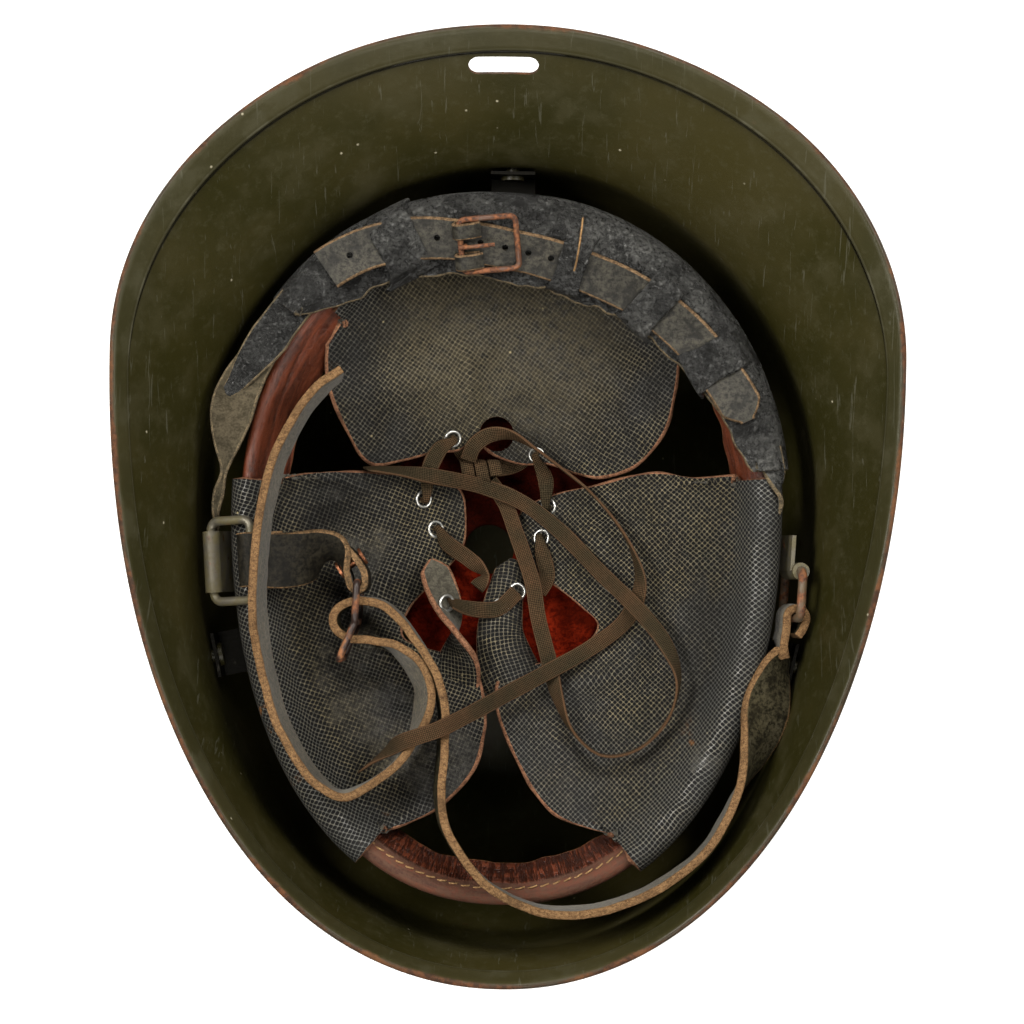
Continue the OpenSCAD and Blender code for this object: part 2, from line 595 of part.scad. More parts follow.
// A rectangle of wire in the XY plane, from x = 0 to w and along y, with round corners
module wire_frame(w, l, r, corner) {
    for (x = [0, w]) translate([x, l / 2 - corner, 0]) rotate([90, 0, 0])
        cylinder(r = r, h = l - 2 * corner);
    for (y = [-l / 2, l / 2]) translate([corner, y, 0]) rotate([0, 90, 0])
        cylinder(r = r, h = w - 2 * corner);
    for (x = [0, 1], y = [-1, 1])
        translate([x == 0 ? corner : w - corner, y * (l / 2 - corner), 0])
            rotate(x == 0 ? (y > 0 ? 90 : 180) : (y > 0 ? 0 : 270))
                rotate_extrude(angle = 90) translate([corner, 0]) circle(r = r, $fn = 24);
}

// The buckle: its frame stands off the strap by the prong's curl
buckle_a = 95.5;
buckle_over = 3.4;
prong_out = buckle_wire_r + run + 0.7;
module on_buckle() {
    on_size_strap(buckle_a, lie + prong_out) children();
}
module sizing_buckle() {
    color("sienna") on_buckle() rotate(-90) translate([-buckle_l / 2, 0, 0])
        wire_frame(buckle_l, size_strap_w + buckle_over, buckle_wire_r, 2);
}
prong_w = 2;
prong_l = 10;
module sizing_prong() {
    color("sienna") on_buckle() translate([0, buckle_l / 2, 0]) difference() {
        union() {
            along_x(prong_out, -prong_w / 2, prong_w / 2);
            translate([0, -prong_l / 2, prong_out - 0.45])
                cube([prong_w * 0.8, prong_l, 0.9], center = true);
        }
        along_x(buckle_wire_r + run, -prong_w, prong_w);
    }
}

// The lugs. Sections are [outward, above the hoop's edge] of the bent sheet.
barrel_bore = bail_wire_r + run;
barrel_out = barrel_bore + lug_t;
right_barrel_off = barrel_out + 0.25;
barrel_reach = 10.6;
barrel_up = 2.3;
lug_foot = -15;
lug_in = 5.3;
bail_corner = 2.8;
bail_rise = 28;
lug_sheet = [[0.2, -24], [0.2, lug_foot - 1.4], [lug_in, lug_foot],
    [barrel_reach - barrel_out, barrel_up], [barrel_reach - barrel_out + lug_t, barrel_up],
    [lug_in + lug_t, lug_foot - 0.9], [0.2 + lug_t, lug_foot - 2.4], [0.2 + lug_t, -24]];
module lug_strip(w) {
    rotate([90, 0, 0]) linear_extrude(height = w, center = true) polygon(lug_sheet);
}
module lug_hole() {
    translate([0, 0, lug_rivet_z - ring_z]) along_x(lug_pin_r + 0.1, -3, 4);
}
module at_left_barrel() {
    on_hoop(lug_left_a, ring_z) translate([barrel_reach, 0, barrel_up]) children();
}
module lug_left() {
    color("olive") difference() {
        union() {
            on_hoop(lug_left_a, ring_z) lug_strip(barrel_l);
            at_left_barrel() rotate([90, 0, 0])
                cylinder(r = barrel_out, h = barrel_l, center = true);
        }
        at_left_barrel() rotate([90, 0, 0])
            cylinder(r = barrel_bore, h = barrel_l + 2, center = true);
        on_hoop(lug_left_a, ring_z) lug_hole();
    }
}
module bail_left() {
    color("darkkhaki") at_left_barrel() rotate([0, 180 + bail_rise, 0])
        wire_frame(bail_w, bail_l, bail_wire_r, bail_corner);
}

// The right lug's barrel stands along its sheet's front edge
right_lug_w = 11;
lug_lean = atan((barrel_reach - barrel_out - lug_in) / (barrel_up - lug_foot));
barrel_mid = 10.5;
module at_right_barrel() {
    on_hoop(lug_right_a, ring_z) translate([lug_in, -right_lug_w / 2, lug_foot])
        rotate([0, lug_lean, 0]) translate([right_barrel_off, 0, barrel_mid]) children();
}
module lug_right() {
    color("olive") difference() {
        union() {
            on_hoop(lug_right_a, ring_z) lug_strip(right_lug_w);
            at_right_barrel() cylinder(r = barrel_out, h = barrel_l, center = true);
        }
        at_right_barrel() cylinder(r = barrel_bore, h = barrel_l + 2, center = true);
        on_hoop(lug_right_a, ring_z) lug_hole();
    }
}
module bail_right() {
    color("darkkhaki") at_right_barrel() rotate(-90) rotate([90, 0, 0])
        wire_frame(bail_w, bail_l, bail_wire_r, bail_corner);
}
module lug_rivets() {
    color("olive") for (a = [lug_left_a, lug_right_a])
        on_hoop(a, lug_rivet_z) flat_rivet(lug_pin_r, -hoop_t - 0.3, lug_t + 0.4);
}

// The slider stands on edge. Its bars are upright, and its far half is bent back.
slider_z = -2.4;
slider_at = [-45.6, -23.4];
slider_head = -92;
slider_bend = -20;
slider_h = strap_w + 4 + 2 * slider_bar;
slider_pitch = (slider_l - slider_bar) / 2;
module at_slider() {
    translate(placed(slider_at.x, slider_at.y, drawn_z + slider_z)) rotate(slider_head) children();
}
module slider_half() {
    difference() {
        translate([-slider_bar / 2, -slider_t / 2, -slider_h / 2])
            cube([slider_pitch + slider_bar, slider_t, slider_h]);
        translate([slider_bar / 2, -slider_t, slider_bar - slider_h / 2])
            cube([slider_pitch - slider_bar, 2 * slider_t, slider_h - 2 * slider_bar]);
    }
}
module slider() {
    color("firebrick") at_slider() {
        slider_half();
        translate([slider_pitch, 0, 0]) rotate(slider_bend) slider_half();
        for (x = [0, slider_pitch]) translate([x, 0, 0])
            cylinder(r = slider_bar / 2, h = slider_h, center = true);
    }
}

// Half a turn of strap round a bar, as [offset, offset] pairs from the bar's middle
function wrap(r, from, to, n) = [for (k = [0 : n]) let (a = mix(from, to, k / n))
    r * [cos(a), sin(a)]];

// The short strap: folded round the left bail's free bar, twisted, and folded round the slider.
// Stations are [x, y, above the hoop's edge, roll, heading].
bail_bar = barrel_reach - bail_w * cos(bail_rise);
bail_bar_z = barrel_up + bail_w * sin(bail_rise);
function left_bar(u, v) = let (p = beside(lug_left_a, -bail_bar - u, ring_z + bail_bar_z + v),
        d = out_angle(lug_left_a) - 180) [p.x, p.y, p.z, 0, d];
short_wrap = bail_wire_r + lie + 0.5 + short_t / 2;
slider_wrap = slider_bar / 2 + lie + short_t / 2;
short_twist = [[-69.5, -17.2, 11, 0], [-63.5, -16.4, 8.5, 12], [-58.5, -15.2, 4.5, 32],
    [-54.5, -15, 1, 60], [-51.4, -17, -1, 86], [-49.2, -20.4, -2.2, 90]];
short_tail = [[-43.6, -20, -2.4, 90], [-45.8, -16.6, -2.4, 90], [-49, -13, -2.4, 90]];
function short_line(list) = [for (p = list) concat(placed(p.x, p.y, drawn_z + p[2]), [p[3], 0])];
short_strap = concat(
    [left_bar(-15, -short_wrap + 0.3), left_bar(-8, -short_wrap)],
    [for (w = wrap(short_wrap, 270, 90, 5)) left_bar(-w.x, w.y)],
    short_line(short_twist),
    [for (w = wrap(slider_wrap, 190, 370, 5)) concat(
        placed(slider_at.x, slider_at.y, drawn_z + slider_z) + [w.x, w.y, 0], [90, 0])],
    short_line(short_tail));
module strap(st, w, t, steps) {
    loft(band_rings([for (p = smooth(st, steps)) concat(p, [w, t])], CORNERS));
}
// The copper rivet holds the two plies by the slider together
strap_rivet_at = [-48.1, -17.5];
strap_rivet_turn = 33;
strap_rivet_l = 3.75;
module at_strap_rivet() {
    translate(placed(strap_rivet_at.x, strap_rivet_at.y, drawn_z + slider_z))
        rotate(strap_rivet_turn) children();
}
module chinstrap_short() {
    color("dimgray") difference() {
        strap(short_strap, strap_w, short_t, 2);
        at_strap_rivet() along_x(strap_pin_r + 0.1, -6, 6);
    }
}
module strap_rivet() {
    color("peru") at_strap_rivet() flat_rivet(strap_pin_r, -strap_rivet_l, strap_rivet_l);
}

// The long strap: its tail, its turn through the slider, its run over the front of the hoop
// and round the gutter, and its fold round the right bail's free bar.
// Stations are [x, y, above the hoop's edge, roll, heading].
long_tail = [[-52, 41, 7], [-57, 37, 8], [-62, 31, 9.5], [-67, 22, 11], [-71, 11, 14.5],
    [-73.5, -3, 20], [-74.5, -17, 23.6], [-75, -30, 21.4], [-74, -43, 16.4], [-71.5, -55, 14.4],
    [-68, -66, 14.6], [-62, -77, 14.8], [-55.5, -85, 13.4], [-48, -88.5, 10.6], [-38, -84, 5.2],
    [-29.5, -76, -0.2], [-25.5, -66, -2.5], [-24.5, -57, -3.4], [-28, -49, -3.4], [-34, -43.5, -2.8]];
long_turn = [[-41, -41.4, -2.4], [-47, -40.9, -2.4], [-51.6, -38.6, -2.4], [-53, -35, -2.4],
    [-51.4, -31.4, -2.4], [-47, -29.4, -2.4], [-41, -29.3, -2.4]];
long_run = [[-36, -31.5, -2.8], [-30.5, -37, -3.2], [-24.5, -45.5, -3.4], [-20.5, -54, -3.2],
    [-18.5, -64, -2.6], [-18.5, -75, -0.6], [-19, -87, 2.8], [-17.5, -97, 6.2], [-12.5, -106, 9.5],
    [-6, -113.5, 11.6], [3, -119.5, 12.2], [15, -123.2, 12.2], [28, -122.8, 12], [41, -119, 11],
    [53, -112.5, 9.5], [63.5, -103.5, 7.6], [69.8, -93, 6.2]];
long_end = [[74.6, -82.5, 5.2, 82, 75], [79, -71, 4.2, 52, 82], [81.6, -60, 2.2, 33, 85],
    [83.8, -51, 0, 45, 82], [86.5, -43, -2.6, 75, 75]];
function long_line(list) = [for (p = list)
    concat(placed(p.x, p.y, drawn_z + p[2]), len(p) > 3 ? [p[3], p[4]] : [90, 85])];
long_wrap = bail_wire_r + lie + strap_t / 2;
// Place by the right bail's free bar: u along the bail, v outward across it
function right_bar(u, v, w = 0) = let (d = out_angle(lug_right_a),
        p = hoop_at(lug_right_a), y = -right_lug_w / 2 - bail_w - u,
        x = lug_in + (right_barrel_off + v) * cos(lug_lean) + (barrel_mid + w) * sin(lug_lean),
        z = lug_foot - (right_barrel_off + v) * sin(lug_lean) + (barrel_mid + w) * cos(lug_lean),
        q = turned([x, y], d))
    [p.x + q.x, p.y + q.y, ring_z + z, 90 + lug_lean, 90 + d];
long_fold = concat([right_bar(8.5, -3.6), right_bar(4.5, -3.2)],
    [for (w = wrap(long_wrap, 190, -10, 6)) right_bar(-w.y, w.x)],
    [right_bar(4.5, 2.6), right_bar(7.6, 2.4)]);
module chinstrap_long() {
    color("dimgray") strap(concat(long_line(long_tail), long_line(long_turn),
        long_line(long_run), long_line(long_end), long_fold), strap_w, strap_t, 1);
}

// The laced part of the lace runs from the knot through the eyelets and back to the knot.
// Free stations are [x, y, lift, roll, heading], and it is gathered inside each eyelet.
function eyelet_way(e) = [cos(e[4]) * sin(e[3]), sin(e[4]), cos(e[4]) * cos(e[3])];
function through(e, d, h) = let (p = over(e.x, e.y, e[2]) + d * eyelet_way(e))
    [p.x, p.y, p.z, 0, h, lace_gather, 1.5];
function up_through(e, h) = [for (d = [-4.2, -1, 2]) through(e, d, h)];
function down_through(e, h) = [for (d = [2, -1, -4.2]) through(e, d, h)];
function lay_lace(list) = [for (p = list) let (q = over(p.x, p.y, p[2]))
    [q.x, q.y, q.z, p[3], p[4], lace_w, lace_t]];
laced = concat(
    lay_lace([[-11, 14, 2, 0, 150], [-15, 19, -3, 0, 140]]),
    up_through(rear_eyelets[0], 215),
    lay_lace([[-22, 19.5, 4.6, 0, 245], [-25.5, 12, 3.8, 0, 260]]),
    down_through(left_eyelets[0], 275),
    lay_lace([[-25.5, -1.5, -4.6, 0, 290]]),
    up_through(left_eyelets[1], 300),
    lay_lace([[-19, -10.5, 3.2, 0, 310], [-12, -15.5, 3.6, 0, 330], [-7, -20, 4, 60, 260],
        [-9.5, -24.5, 3, 0, 200]]));
laced_right = concat(
    lay_lace([[-7, 13.5, 2.5, 0, 0], [2, 15.5, -3.2, 0, 20]]),
    up_through(rear_eyelets[1], -50),
    lay_lace([[12, 10.5, 4.2, 0, -70]]),
    down_through(right_eyelets[0], -80),
    lay_lace([[12.6, -2.6, -4.6, 0, -95]]),
    up_through(right_eyelets[1], -95),
    lay_lace([[11.6, -14, 2.6, 0, -80], [13, -20.5, 1.6, 0, -80], [10.5, -25.5, 2, 0, -150]]));
knot_size = [13, 7, 5];
module lace_laced() {
    color("saddlebrown") {
        loft(band_rings(smooth(laced, 2), FLAT_OVAL));
        loft(band_rings(smooth(laced_right, 2), FLAT_OVAL));
        knot = over(-9, 13, 3);
        loft(band_rings([for (k = [-6 : 6]) let (f = sqrt(1 - pow(k / 6.5, 2)))
            [knot.x + k * knot_size.x / 13, knot.y, knot.z, 0, 0,
                knot_size.y * f, knot_size.z * f]], FLAT_OVAL));
    }
}

// The free ends of the lace, from the knot to the tip, as [x, y, lift, roll, heading]
lace_a = [[-6, 10, 5.4, 0, -40], [-1, 3, 5.6, 0, -65], [2.5, -6, 5.8, 0, -70],
    [5.5, -14, 7.4, 0, -75], [8.5, -23, 8.6, 0, -80], [10.5, -34, 7.4, 0, -75],
    [13.5, -45, 5, 0, -65], [17, -58, 5.4, 45, -65], [22, -69, 5, 85, -45], [31, -76, 4.6, 90, -10],
    [42, -74, 4.4, 90, 30], [51, -65, 4.4, 90, 60], [54.5, -53, 4.6, 75, 90], [51, -42, 5, 30, 120],
    [42.5, -31, 6, 0, 135], [30, -19, 4.4, 0, 135], [17, -6, 4.6, 0, 140], [5, 3, 5.4, 0, 155],
    [-8, 8, 6.4, 0, 165], [-22, 10.5, 7.4, 0, 170], [-34, 12, 5, 0, 175], [-45, 12.5, 4, 0, 180]];
lace_b = [[-13, 16.5, 3.8, 0, 80], [-11, 21, 5.6, 0, 60], [-6, 24.5, 5.6, 20, 15],
    [1, 24.5, 6.4, 60, -15], [9, 20, 8, 90, -35], [18, 13.5, 5.2, 90, -35], [26, 7, 4, 90, -40],
    [34, -2, 3.8, 90, -55], [40, -12, 3.6, 80, -65], [42.5, -23, 2.6, 40, -95],
    [38, -34, 2.4, 0, -140], [27, -43, 4, 0, -150], [14, -50.5, 8.6, 0, -150],
    [2, -57, 14.5, 0, -150], [-9, -63, 22.5, 0, -150], [-19, -68, 27.5, 0, -150],
    [-26, -70.5, 26.5, 0, -152], [-31, -72.5, 22, 15, -150], [-35.5, -75.5, 14, 60, -145],
    [-40, -79, 8, 85, -142], [-44.5, -82.5, 5.6, 90, -140]];
module lace_end(st) {
    color("saddlebrown") loft(band_rings(smooth(lay_lace(st), 2), FLAT_OVAL));
}
module lace_end_a() { lace_end(lace_a); }
module lace_end_b() { lace_end(lace_b); }

shell();
shell_rivets();
standoff_left();
standoff_right();
standoff_rear();
liner_hoop();
hoop_rivets();
brow_leather();
pad_left();
pad_right();
pad_rear();
cushion_left();
cushion_right();
cushion_rear();
eyelets_left();
eyelets_right();
eyelets_rear();
crown_pad();
sizing_band();
sizing_strap();
sizing_buckle();
sizing_prong();
lug_left();
lug_right();
lug_rivets();
bail_left();
bail_right();
chinstrap_short();
strap_rivet();
slider();
chinstrap_long();
lace_laced();
lace_end_a();
lace_end_b();
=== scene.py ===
# %% [markdown]
# # A steel helmet, upturned, with its leather liner
# The helmet lies on its crown and the camera looks straight down into it. The CAD model gives every
# piece its place and size. This script gives each piece the form and the finish of the worn object:
# pressed and painted steel, grained leather, suede, felt, wire and a woven lace.
# Most pieces are surfaces worked out with numpy as whole arrays, in millimetres, and only
# the function that makes the mesh turns them into metres.

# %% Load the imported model
import bmesh
import bpy
import numpy as np
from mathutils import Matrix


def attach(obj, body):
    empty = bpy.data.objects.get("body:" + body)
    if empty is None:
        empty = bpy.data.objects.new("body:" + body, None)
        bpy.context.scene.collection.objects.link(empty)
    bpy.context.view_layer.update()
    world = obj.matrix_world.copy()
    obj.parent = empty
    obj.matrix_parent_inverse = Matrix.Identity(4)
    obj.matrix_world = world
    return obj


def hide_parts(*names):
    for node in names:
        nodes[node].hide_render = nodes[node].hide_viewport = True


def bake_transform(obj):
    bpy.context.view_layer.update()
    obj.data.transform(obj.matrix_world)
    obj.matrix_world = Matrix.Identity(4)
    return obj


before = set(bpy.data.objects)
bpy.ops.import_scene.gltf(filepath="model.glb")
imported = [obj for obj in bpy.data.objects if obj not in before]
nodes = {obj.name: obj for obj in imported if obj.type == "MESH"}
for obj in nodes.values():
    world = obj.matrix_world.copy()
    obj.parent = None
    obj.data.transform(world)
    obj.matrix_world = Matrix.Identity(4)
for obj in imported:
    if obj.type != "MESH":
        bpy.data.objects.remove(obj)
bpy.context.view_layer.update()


def add_object(name, data):
    """A new object in the scene."""
    obj = bpy.data.objects.new(name, data)
    bpy.context.scene.collection.objects.link(obj)
    return obj


# %% [markdown]
# ## Camera
# The photograph looks into the opening from straight above. The rim is 166 mm above the table and the
# picture shows 307 mm at that height, so a camera one metre above the rim needs a lens of about 117 mm.
# A small shift and three small turns bring the rim, the bails, the slot and the eyelets over their
# places in the photograph.

# %% Camera
RIM = 0.166
FAR = 1.0
PICTURE = 0.3068
camera_data = bpy.data.cameras.new("camera")
camera = add_object("camera", camera_data)
bpy.context.scene.camera = camera
camera_data.sensor_width = 36.0
camera_data.lens = camera_data.sensor_width * FAR / PICTURE
camera_data.clip_end = 20.0
camera.location = (0.0143, -0.0220, RIM + FAR)
camera.rotation_euler = np.radians([1.19, 0.67, 1.06])
print("lens", round(camera_data.lens, 1))

# %% [markdown]
# ## Small tools for curves and sheets
# A free curve runs through a few known places. The Catmull-Rom formula gives each stretch from the
# four places round it, so the curve passes through every one of them. A band such as a strap or a lace
# also needs to know which way its width points: its roll is 0 where it lies flat and 90 where it
# stands on its edge.

# %% Curves
MM = 0.001
UP = np.array([0.0, 0.0, 1.0])


def unit(v):
    """A vector divided by its length."""
    return v / np.maximum(np.linalg.norm(v, axis=-1, keepdims=True), 1e-9)


def smooth(points, steps, axis=0):
    """Catmull-Rom: b + s/2 ((c-a) + s((2a-5b+4c-d) + s(3b-3c+d-a))) for s from 0 to 1 on each stretch."""
    p = np.moveaxis(np.asarray(points, float), axis, 0)
    a = np.concatenate([p[:1], p[:-2]])[:, None]
    b, c = p[:-1, None], p[1:, None]
    d = np.concatenate([p[2:], p[-1:]])[:, None]
    s = (np.arange(steps) / steps).reshape((1, steps) + (1,) * (p.ndim - 1))
    q = b + 0.5 * s * ((c - a) + s * ((2 * a - 5 * b + 4 * c - d) + s * (3 * b - 3 * c + d - a)))
    q = np.concatenate([q.reshape((-1,) + p.shape[1:]), p[-1:]])
    return np.moveaxis(q, 0, axis)


def lengths(p):
    """Running length along the first axis of a row of points."""
    return np.concatenate([[0], np.cumsum(np.linalg.norm(np.diff(p[:, :3], axis=0), axis=1))])


def evenly(p, gap):
    """The same curve with its points an even gap apart."""
    run = lengths(p)
    at = np.linspace(0, run[-1], max(int(run[-1] / gap), 8) + 1)
    return np.stack([np.interp(at, run, p[:, k]) for k in range(p.shape[1])], -1)


def waves(x, y, scale, seed, count=9):
    """Smooth irregular waves: the mean of a few sines that run in random directions."""
    r = np.random.default_rng(seed)
    way, phase = r.uniform(0, 2 * np.pi, (2, count))
    size = scale * r.uniform(0.6, 1.8, count)
    turns = 2 * np.pi * (x[..., None] * np.cos(way) + y[..., None] * np.sin(way)) / size
    return np.sin(turns + phase).sum(-1) / np.sqrt(count)


def band_frame(path, roll, heading):
    """Width and thickness directions of a band: the width starts from its roll and heading and is made
    square to the curve's own direction."""
    t = unit(np.gradient(path, axis=0))
    r, h = np.radians(roll), np.radians(heading)
    lay = np.stack([-np.cos(r) * np.sin(h), np.cos(r) * np.cos(h), np.sin(r)], -1)
    wide = unit(lay - (lay * t).sum(-1, keepdims=True) * t)
    return wide, np.cross(t, wide)


# %% [markdown]
# ## From arrays to a mesh
# Every surface is a set of rings: point j of ring i joins point j of ring i + 1. foreach_set puts whole
# arrays into the mesh at once. The volume's sign tells whether the faces point outwards, and if not
# they are all turned. A pattern that follows the surface reads the UV map, which is in metres, so a
# grain or weave has its real size on every piece.

# %% Mesh from rings
def merge_close(mesh):
    """Points closer than a thousandth of a millimetre become one, and faces without area go."""
    solid = bmesh.new()
    solid.from_mesh(mesh)
    bmesh.ops.remove_doubles(solid, verts=solid.verts, dist=1e-6)
    bmesh.ops.dissolve_degenerate(solid, edges=solid.edges, dist=1e-7)
    solid.to_mesh(mesh)
    solid.free()
    mesh.validate()


def put_mesh(name, verts, quads, uv=None, kinds=None, finishes=(), sharp=35.0):
    """An object at the origin from vertices in millimetres, four corners a face, a UV pair a corner,
    and the number of each face's finish. Points that meet, as at a pole, become one."""
    quads = np.asarray(quads, np.int64)
    v = np.asarray(verts, float) * MM
    a, b, c, d = (v[quads[:, k]] for k in range(4))
    volume = (np.einsum("ij,ij->i", a, np.cross(b, c)) + np.einsum("ij,ij->i", a, np.cross(c, d))).sum() / 6
    if volume < 0:
        quads = quads[:, ::-1]
        uv = None if uv is None else uv[:, ::-1]
    mesh = bpy.data.meshes.new(name)
    mesh.vertices.add(len(v))
    mesh.vertices.foreach_set("co", v.astype(np.float32).ravel())
    mesh.loops.add(quads.size)
    mesh.loops.foreach_set("vertex_index", quads.astype(np.int32).ravel())
    mesh.polygons.add(len(quads))
    mesh.polygons.foreach_set("loop_start", np.arange(0, quads.size, 4, dtype=np.int32))
    if kinds is not None:
        mesh.polygons.foreach_set("material_index", np.asarray(kinds, np.int32))
    if uv is not None:
        mesh.uv_layers.new(name="pattern").data.foreach_set("uv", (uv * MM).astype(np.float32).ravel())
    for f in finishes:
        mesh.materials.append(f)
    mesh.update(calc_edges=True)
    merge_close(mesh)
    mesh.polygons.foreach_set("use_smooth", np.ones(len(mesh.polygons), bool))
    mesh.set_sharp_from_angle(angle=np.radians(sharp))
    obj = add_object(name, mesh)
    print(name, len(mesh.polygons), "faces", round(abs(volume) * 1e6, 2), "cm3")
    return obj


def ring_faces(n, m, closed=False):
    """Corners of the quads between rings, as ring numbers and point numbers, and of the strips that
    close the two ends from one face of a sheet to the other."""
    i = np.arange(n if closed else n - 1)[:, None] + np.zeros((1, m), int)
    j = np.zeros_like(i) + np.arange(m)[None, :]
    ii = np.stack([i, i + 1, i + 1, i], -1).reshape(-1, 4)
    jj = np.stack([j, j, j + 1, j + 1], -1).reshape(-1, 4)
    if closed:
        return ii, jj
    k = np.arange(m // 2 - 1)
    cap = np.stack([k, k + 1, m - 2 - k, m - 1 - k], -1)
    ii = np.concatenate([ii, np.zeros_like(cap), np.full_like(cap, n - 1)])
    return ii, np.concatenate([jj, cap, cap[:, ::-1]])


def ring_mesh(name, rings, uv=None, column_kinds=None, cap_kind=0, finishes=(), closed=False, sharp=35.0):
    """Object from rings (n, m, 3). uv is (n or n + 1, m or m + 1, 2)."""
    n, m = rings.shape[:2]
    ii, jj = ring_faces(n, m, closed)
    quads = (ii % n) * m + jj % m
    corner_uv = None
    if uv is not None:
        corner_uv = uv[np.minimum(ii, uv.shape[0] - 1), jj if uv.shape[1] > m else jj % m]
    kinds = None
    if column_kinds is not None:
        side = (n if closed else n - 1) * m
        kinds = np.full(len(quads), cap_kind)
        kinds[:side] = np.tile(column_kinds, n if closed else n - 1)
    return put_mesh(name, rings.reshape(-1, 3), quads, corner_uv, kinds, finishes, sharp)


# %% [markdown]
# ## A leather sheet
# Leather is a middle surface with a thickness. Both faces are the middle surface moved along its
# normals. Its cut edges are rounded a little: near an edge the half thickness follows a quarter circle.
# The grain side, the cut edge and the flesh side get finishes of their own.

# %% Leather sheet
def pattern(along, across):
    """The two numbers of the pattern at every place, from a row and a column or two grids."""
    return np.stack(np.broadcast_arrays(along, across), -1)


def lengths_across(grid):
    """Running length along every row of a grid."""
    step = np.linalg.norm(np.diff(grid[..., :3], axis=1), axis=-1)
    return np.concatenate([np.zeros((len(grid), 1)), np.cumsum(step, 1)], 1)


def slide_along(grid, at):
    """Points of every row of a grid at given distances along the row: the place between two known
    columns in proportion to the running length."""
    run = lengths_across(grid)
    at = at if at.ndim == 2 else at[None] + np.zeros((len(grid), 1))
    left = np.clip((run[:, None, :] <= at[..., None]).sum(-1) - 1, 0, grid.shape[1] - 2)
    row = np.arange(len(grid))[:, None]
    t = (at - run[row, left]) / np.maximum(run[row, left + 1] - run[row, left], 1e-9)
    return grid[row, left] + np.clip(t, 0, 1)[..., None] * (grid[row, left + 1] - grid[row, left])


def sheet_rings(mid, thick, columns, round_start, wrap, square):
    """Rings round a sheet: up one face and back along the other. The columns close to an edge follow a
    quarter circle of half the thickness, or a squarer curve where square is under 1."""
    r = thick / 2
    total = np.linalg.norm(np.diff(mid[..., :3], axis=1), axis=-1).sum(1)
    q = np.radians([0, 25, 50, 72])
    ease = r * square * (1 - np.cos(q))
    start = ease if round_start else np.zeros(0)
    end = ease[::-1]
    inner = np.linspace(0, 1, columns)
    lo, hi = r * square if round_start else 0, r * square
    at = np.concatenate([
        np.tile(start, (len(mid), 1)),
        lo + inner[None] * (total[:, None] - lo - hi),
        total[:, None] - np.tile(end, (len(mid), 1))], 1)
    rising = r * np.sin(q) ** square
    half = np.concatenate([rising if round_start else [], np.full(columns, r), rising[::-1]])
    kind = np.concatenate([np.ones(len(start)), np.zeros(columns), np.ones(len(end))]).astype(int)
    m = slide_along(mid, at)
    p = m[..., :3]
    du = (np.roll(p, -1, 0) - np.roll(p, 1, 0)) if wrap else np.gradient(p, axis=0)
    core = slice(len(start), len(start) + columns)
    dv = np.gradient(p[:, core], axis=1)
    normal = np.zeros_like(p)
    normal[:, core] = unit(np.cross(du[:, core], dv))
    normal[:, :len(start)] = normal[:, core][:, :1]
    normal[:, len(start) + columns:] = normal[:, core][:, -1:]
    up, down = p + normal * half[:, None], p - normal * half[:, None]
    rings = np.concatenate([up, down[:, ::-1]], 1)
    uv = np.concatenate([m[..., 3:5], m[:, ::-1, 3:5]], 1) if m.shape[-1] >= 5 else None
    edge = kind[:-1] | kind[1:]
    return rings, uv, np.concatenate([edge, [1], np.where(edge[::-1] == 1, 1, 2), [1]])


def sheet_mesh(name, mid, thick, columns, finishes, round_start=True, wrap=0.0, square=1.0):
    """A leather sheet as an object. finishes are the grain side, the cut edge and the flesh side.
    Wrap is the whole length round a band that meets its own start, or 0."""
    rings, uv, col = sheet_rings(mid, thick, columns, round_start, wrap > 0, square)
    if wrap and uv is not None:
        uv = np.concatenate([uv, uv[:1] + np.array([wrap, 0.0])])
    return ring_mesh(name, rings, uv, col, 1, finishes, closed=wrap > 0)


# %% [markdown]
# ## Tools for finishes
# A finish is a small tree of shader nodes. One function adds a node to the tree that its inputs come
# from, and either sets or links each of them. What several finishes share, such as patches of wear,
# specks, fibres, a woven or pressed grid and rust, is a node group with inputs of its own, so each
# finish gives it its own sizes.

# %% Node tools
def is_socket(value):
    """True for a node's socket, False for a number or a colour."""
    return isinstance(value, bpy.types.NodeSocket)


def feed(n, inputs):
    """Links every input of a node whose value is a socket, and sets the others."""
    for key, value in inputs.items():
        if is_socket(value):
            n.id_data.links.new(value, n.inputs[key])
        else:
            n.inputs[key].default_value = value
    return n


def source(tree, kind, inputs=None, **settings):
    """Adds a shader node to a tree, with its settings and inputs."""
    n = tree.nodes.new("ShaderNode" + kind)
    for key, value in settings.items():
        setattr(n, key, value)
    return feed(n, inputs or {})


def node(kind, inputs, **settings):
    """Adds a shader node to the tree that its inputs come from."""
    tree = next(value.id_data for value in inputs.values() if is_socket(value))
    return source(tree, kind, inputs, **settings)


def maths(operation, a, b=0.5, clamp=False):
    """One step of arithmetic on shader values."""
    return node("Math", {0: a, 1: b}, operation=operation, use_clamp=clamp).outputs[0]


def times(a, b):
    """a times b."""
    return maths("MULTIPLY", a, b)


def plus(a, b):
    """a plus b."""
    return maths("ADD", a, b)


def minus(a, b, clamp=False):
    """a minus b."""
    return maths("SUBTRACT", a, b, clamp)


def coordinate(vector, k):
    """The first, second or third number of a vector, for k = 0, 1 or 2."""
    return node("SeparateXYZ", {0: vector}).outputs[k]


def spread(value, low, high, to_low=0.0, to_high=1.0, smooth_step=True):
    """Value mapped from low..high to to_low..to_high, with soft ends."""
    return node("MapRange", {"Value": value, "From Min": low, "From Max": high, "To Min": to_low, "To Max": to_high},
                interpolation_type="SMOOTHSTEP" if smooth_step else "LINEAR").outputs[0]


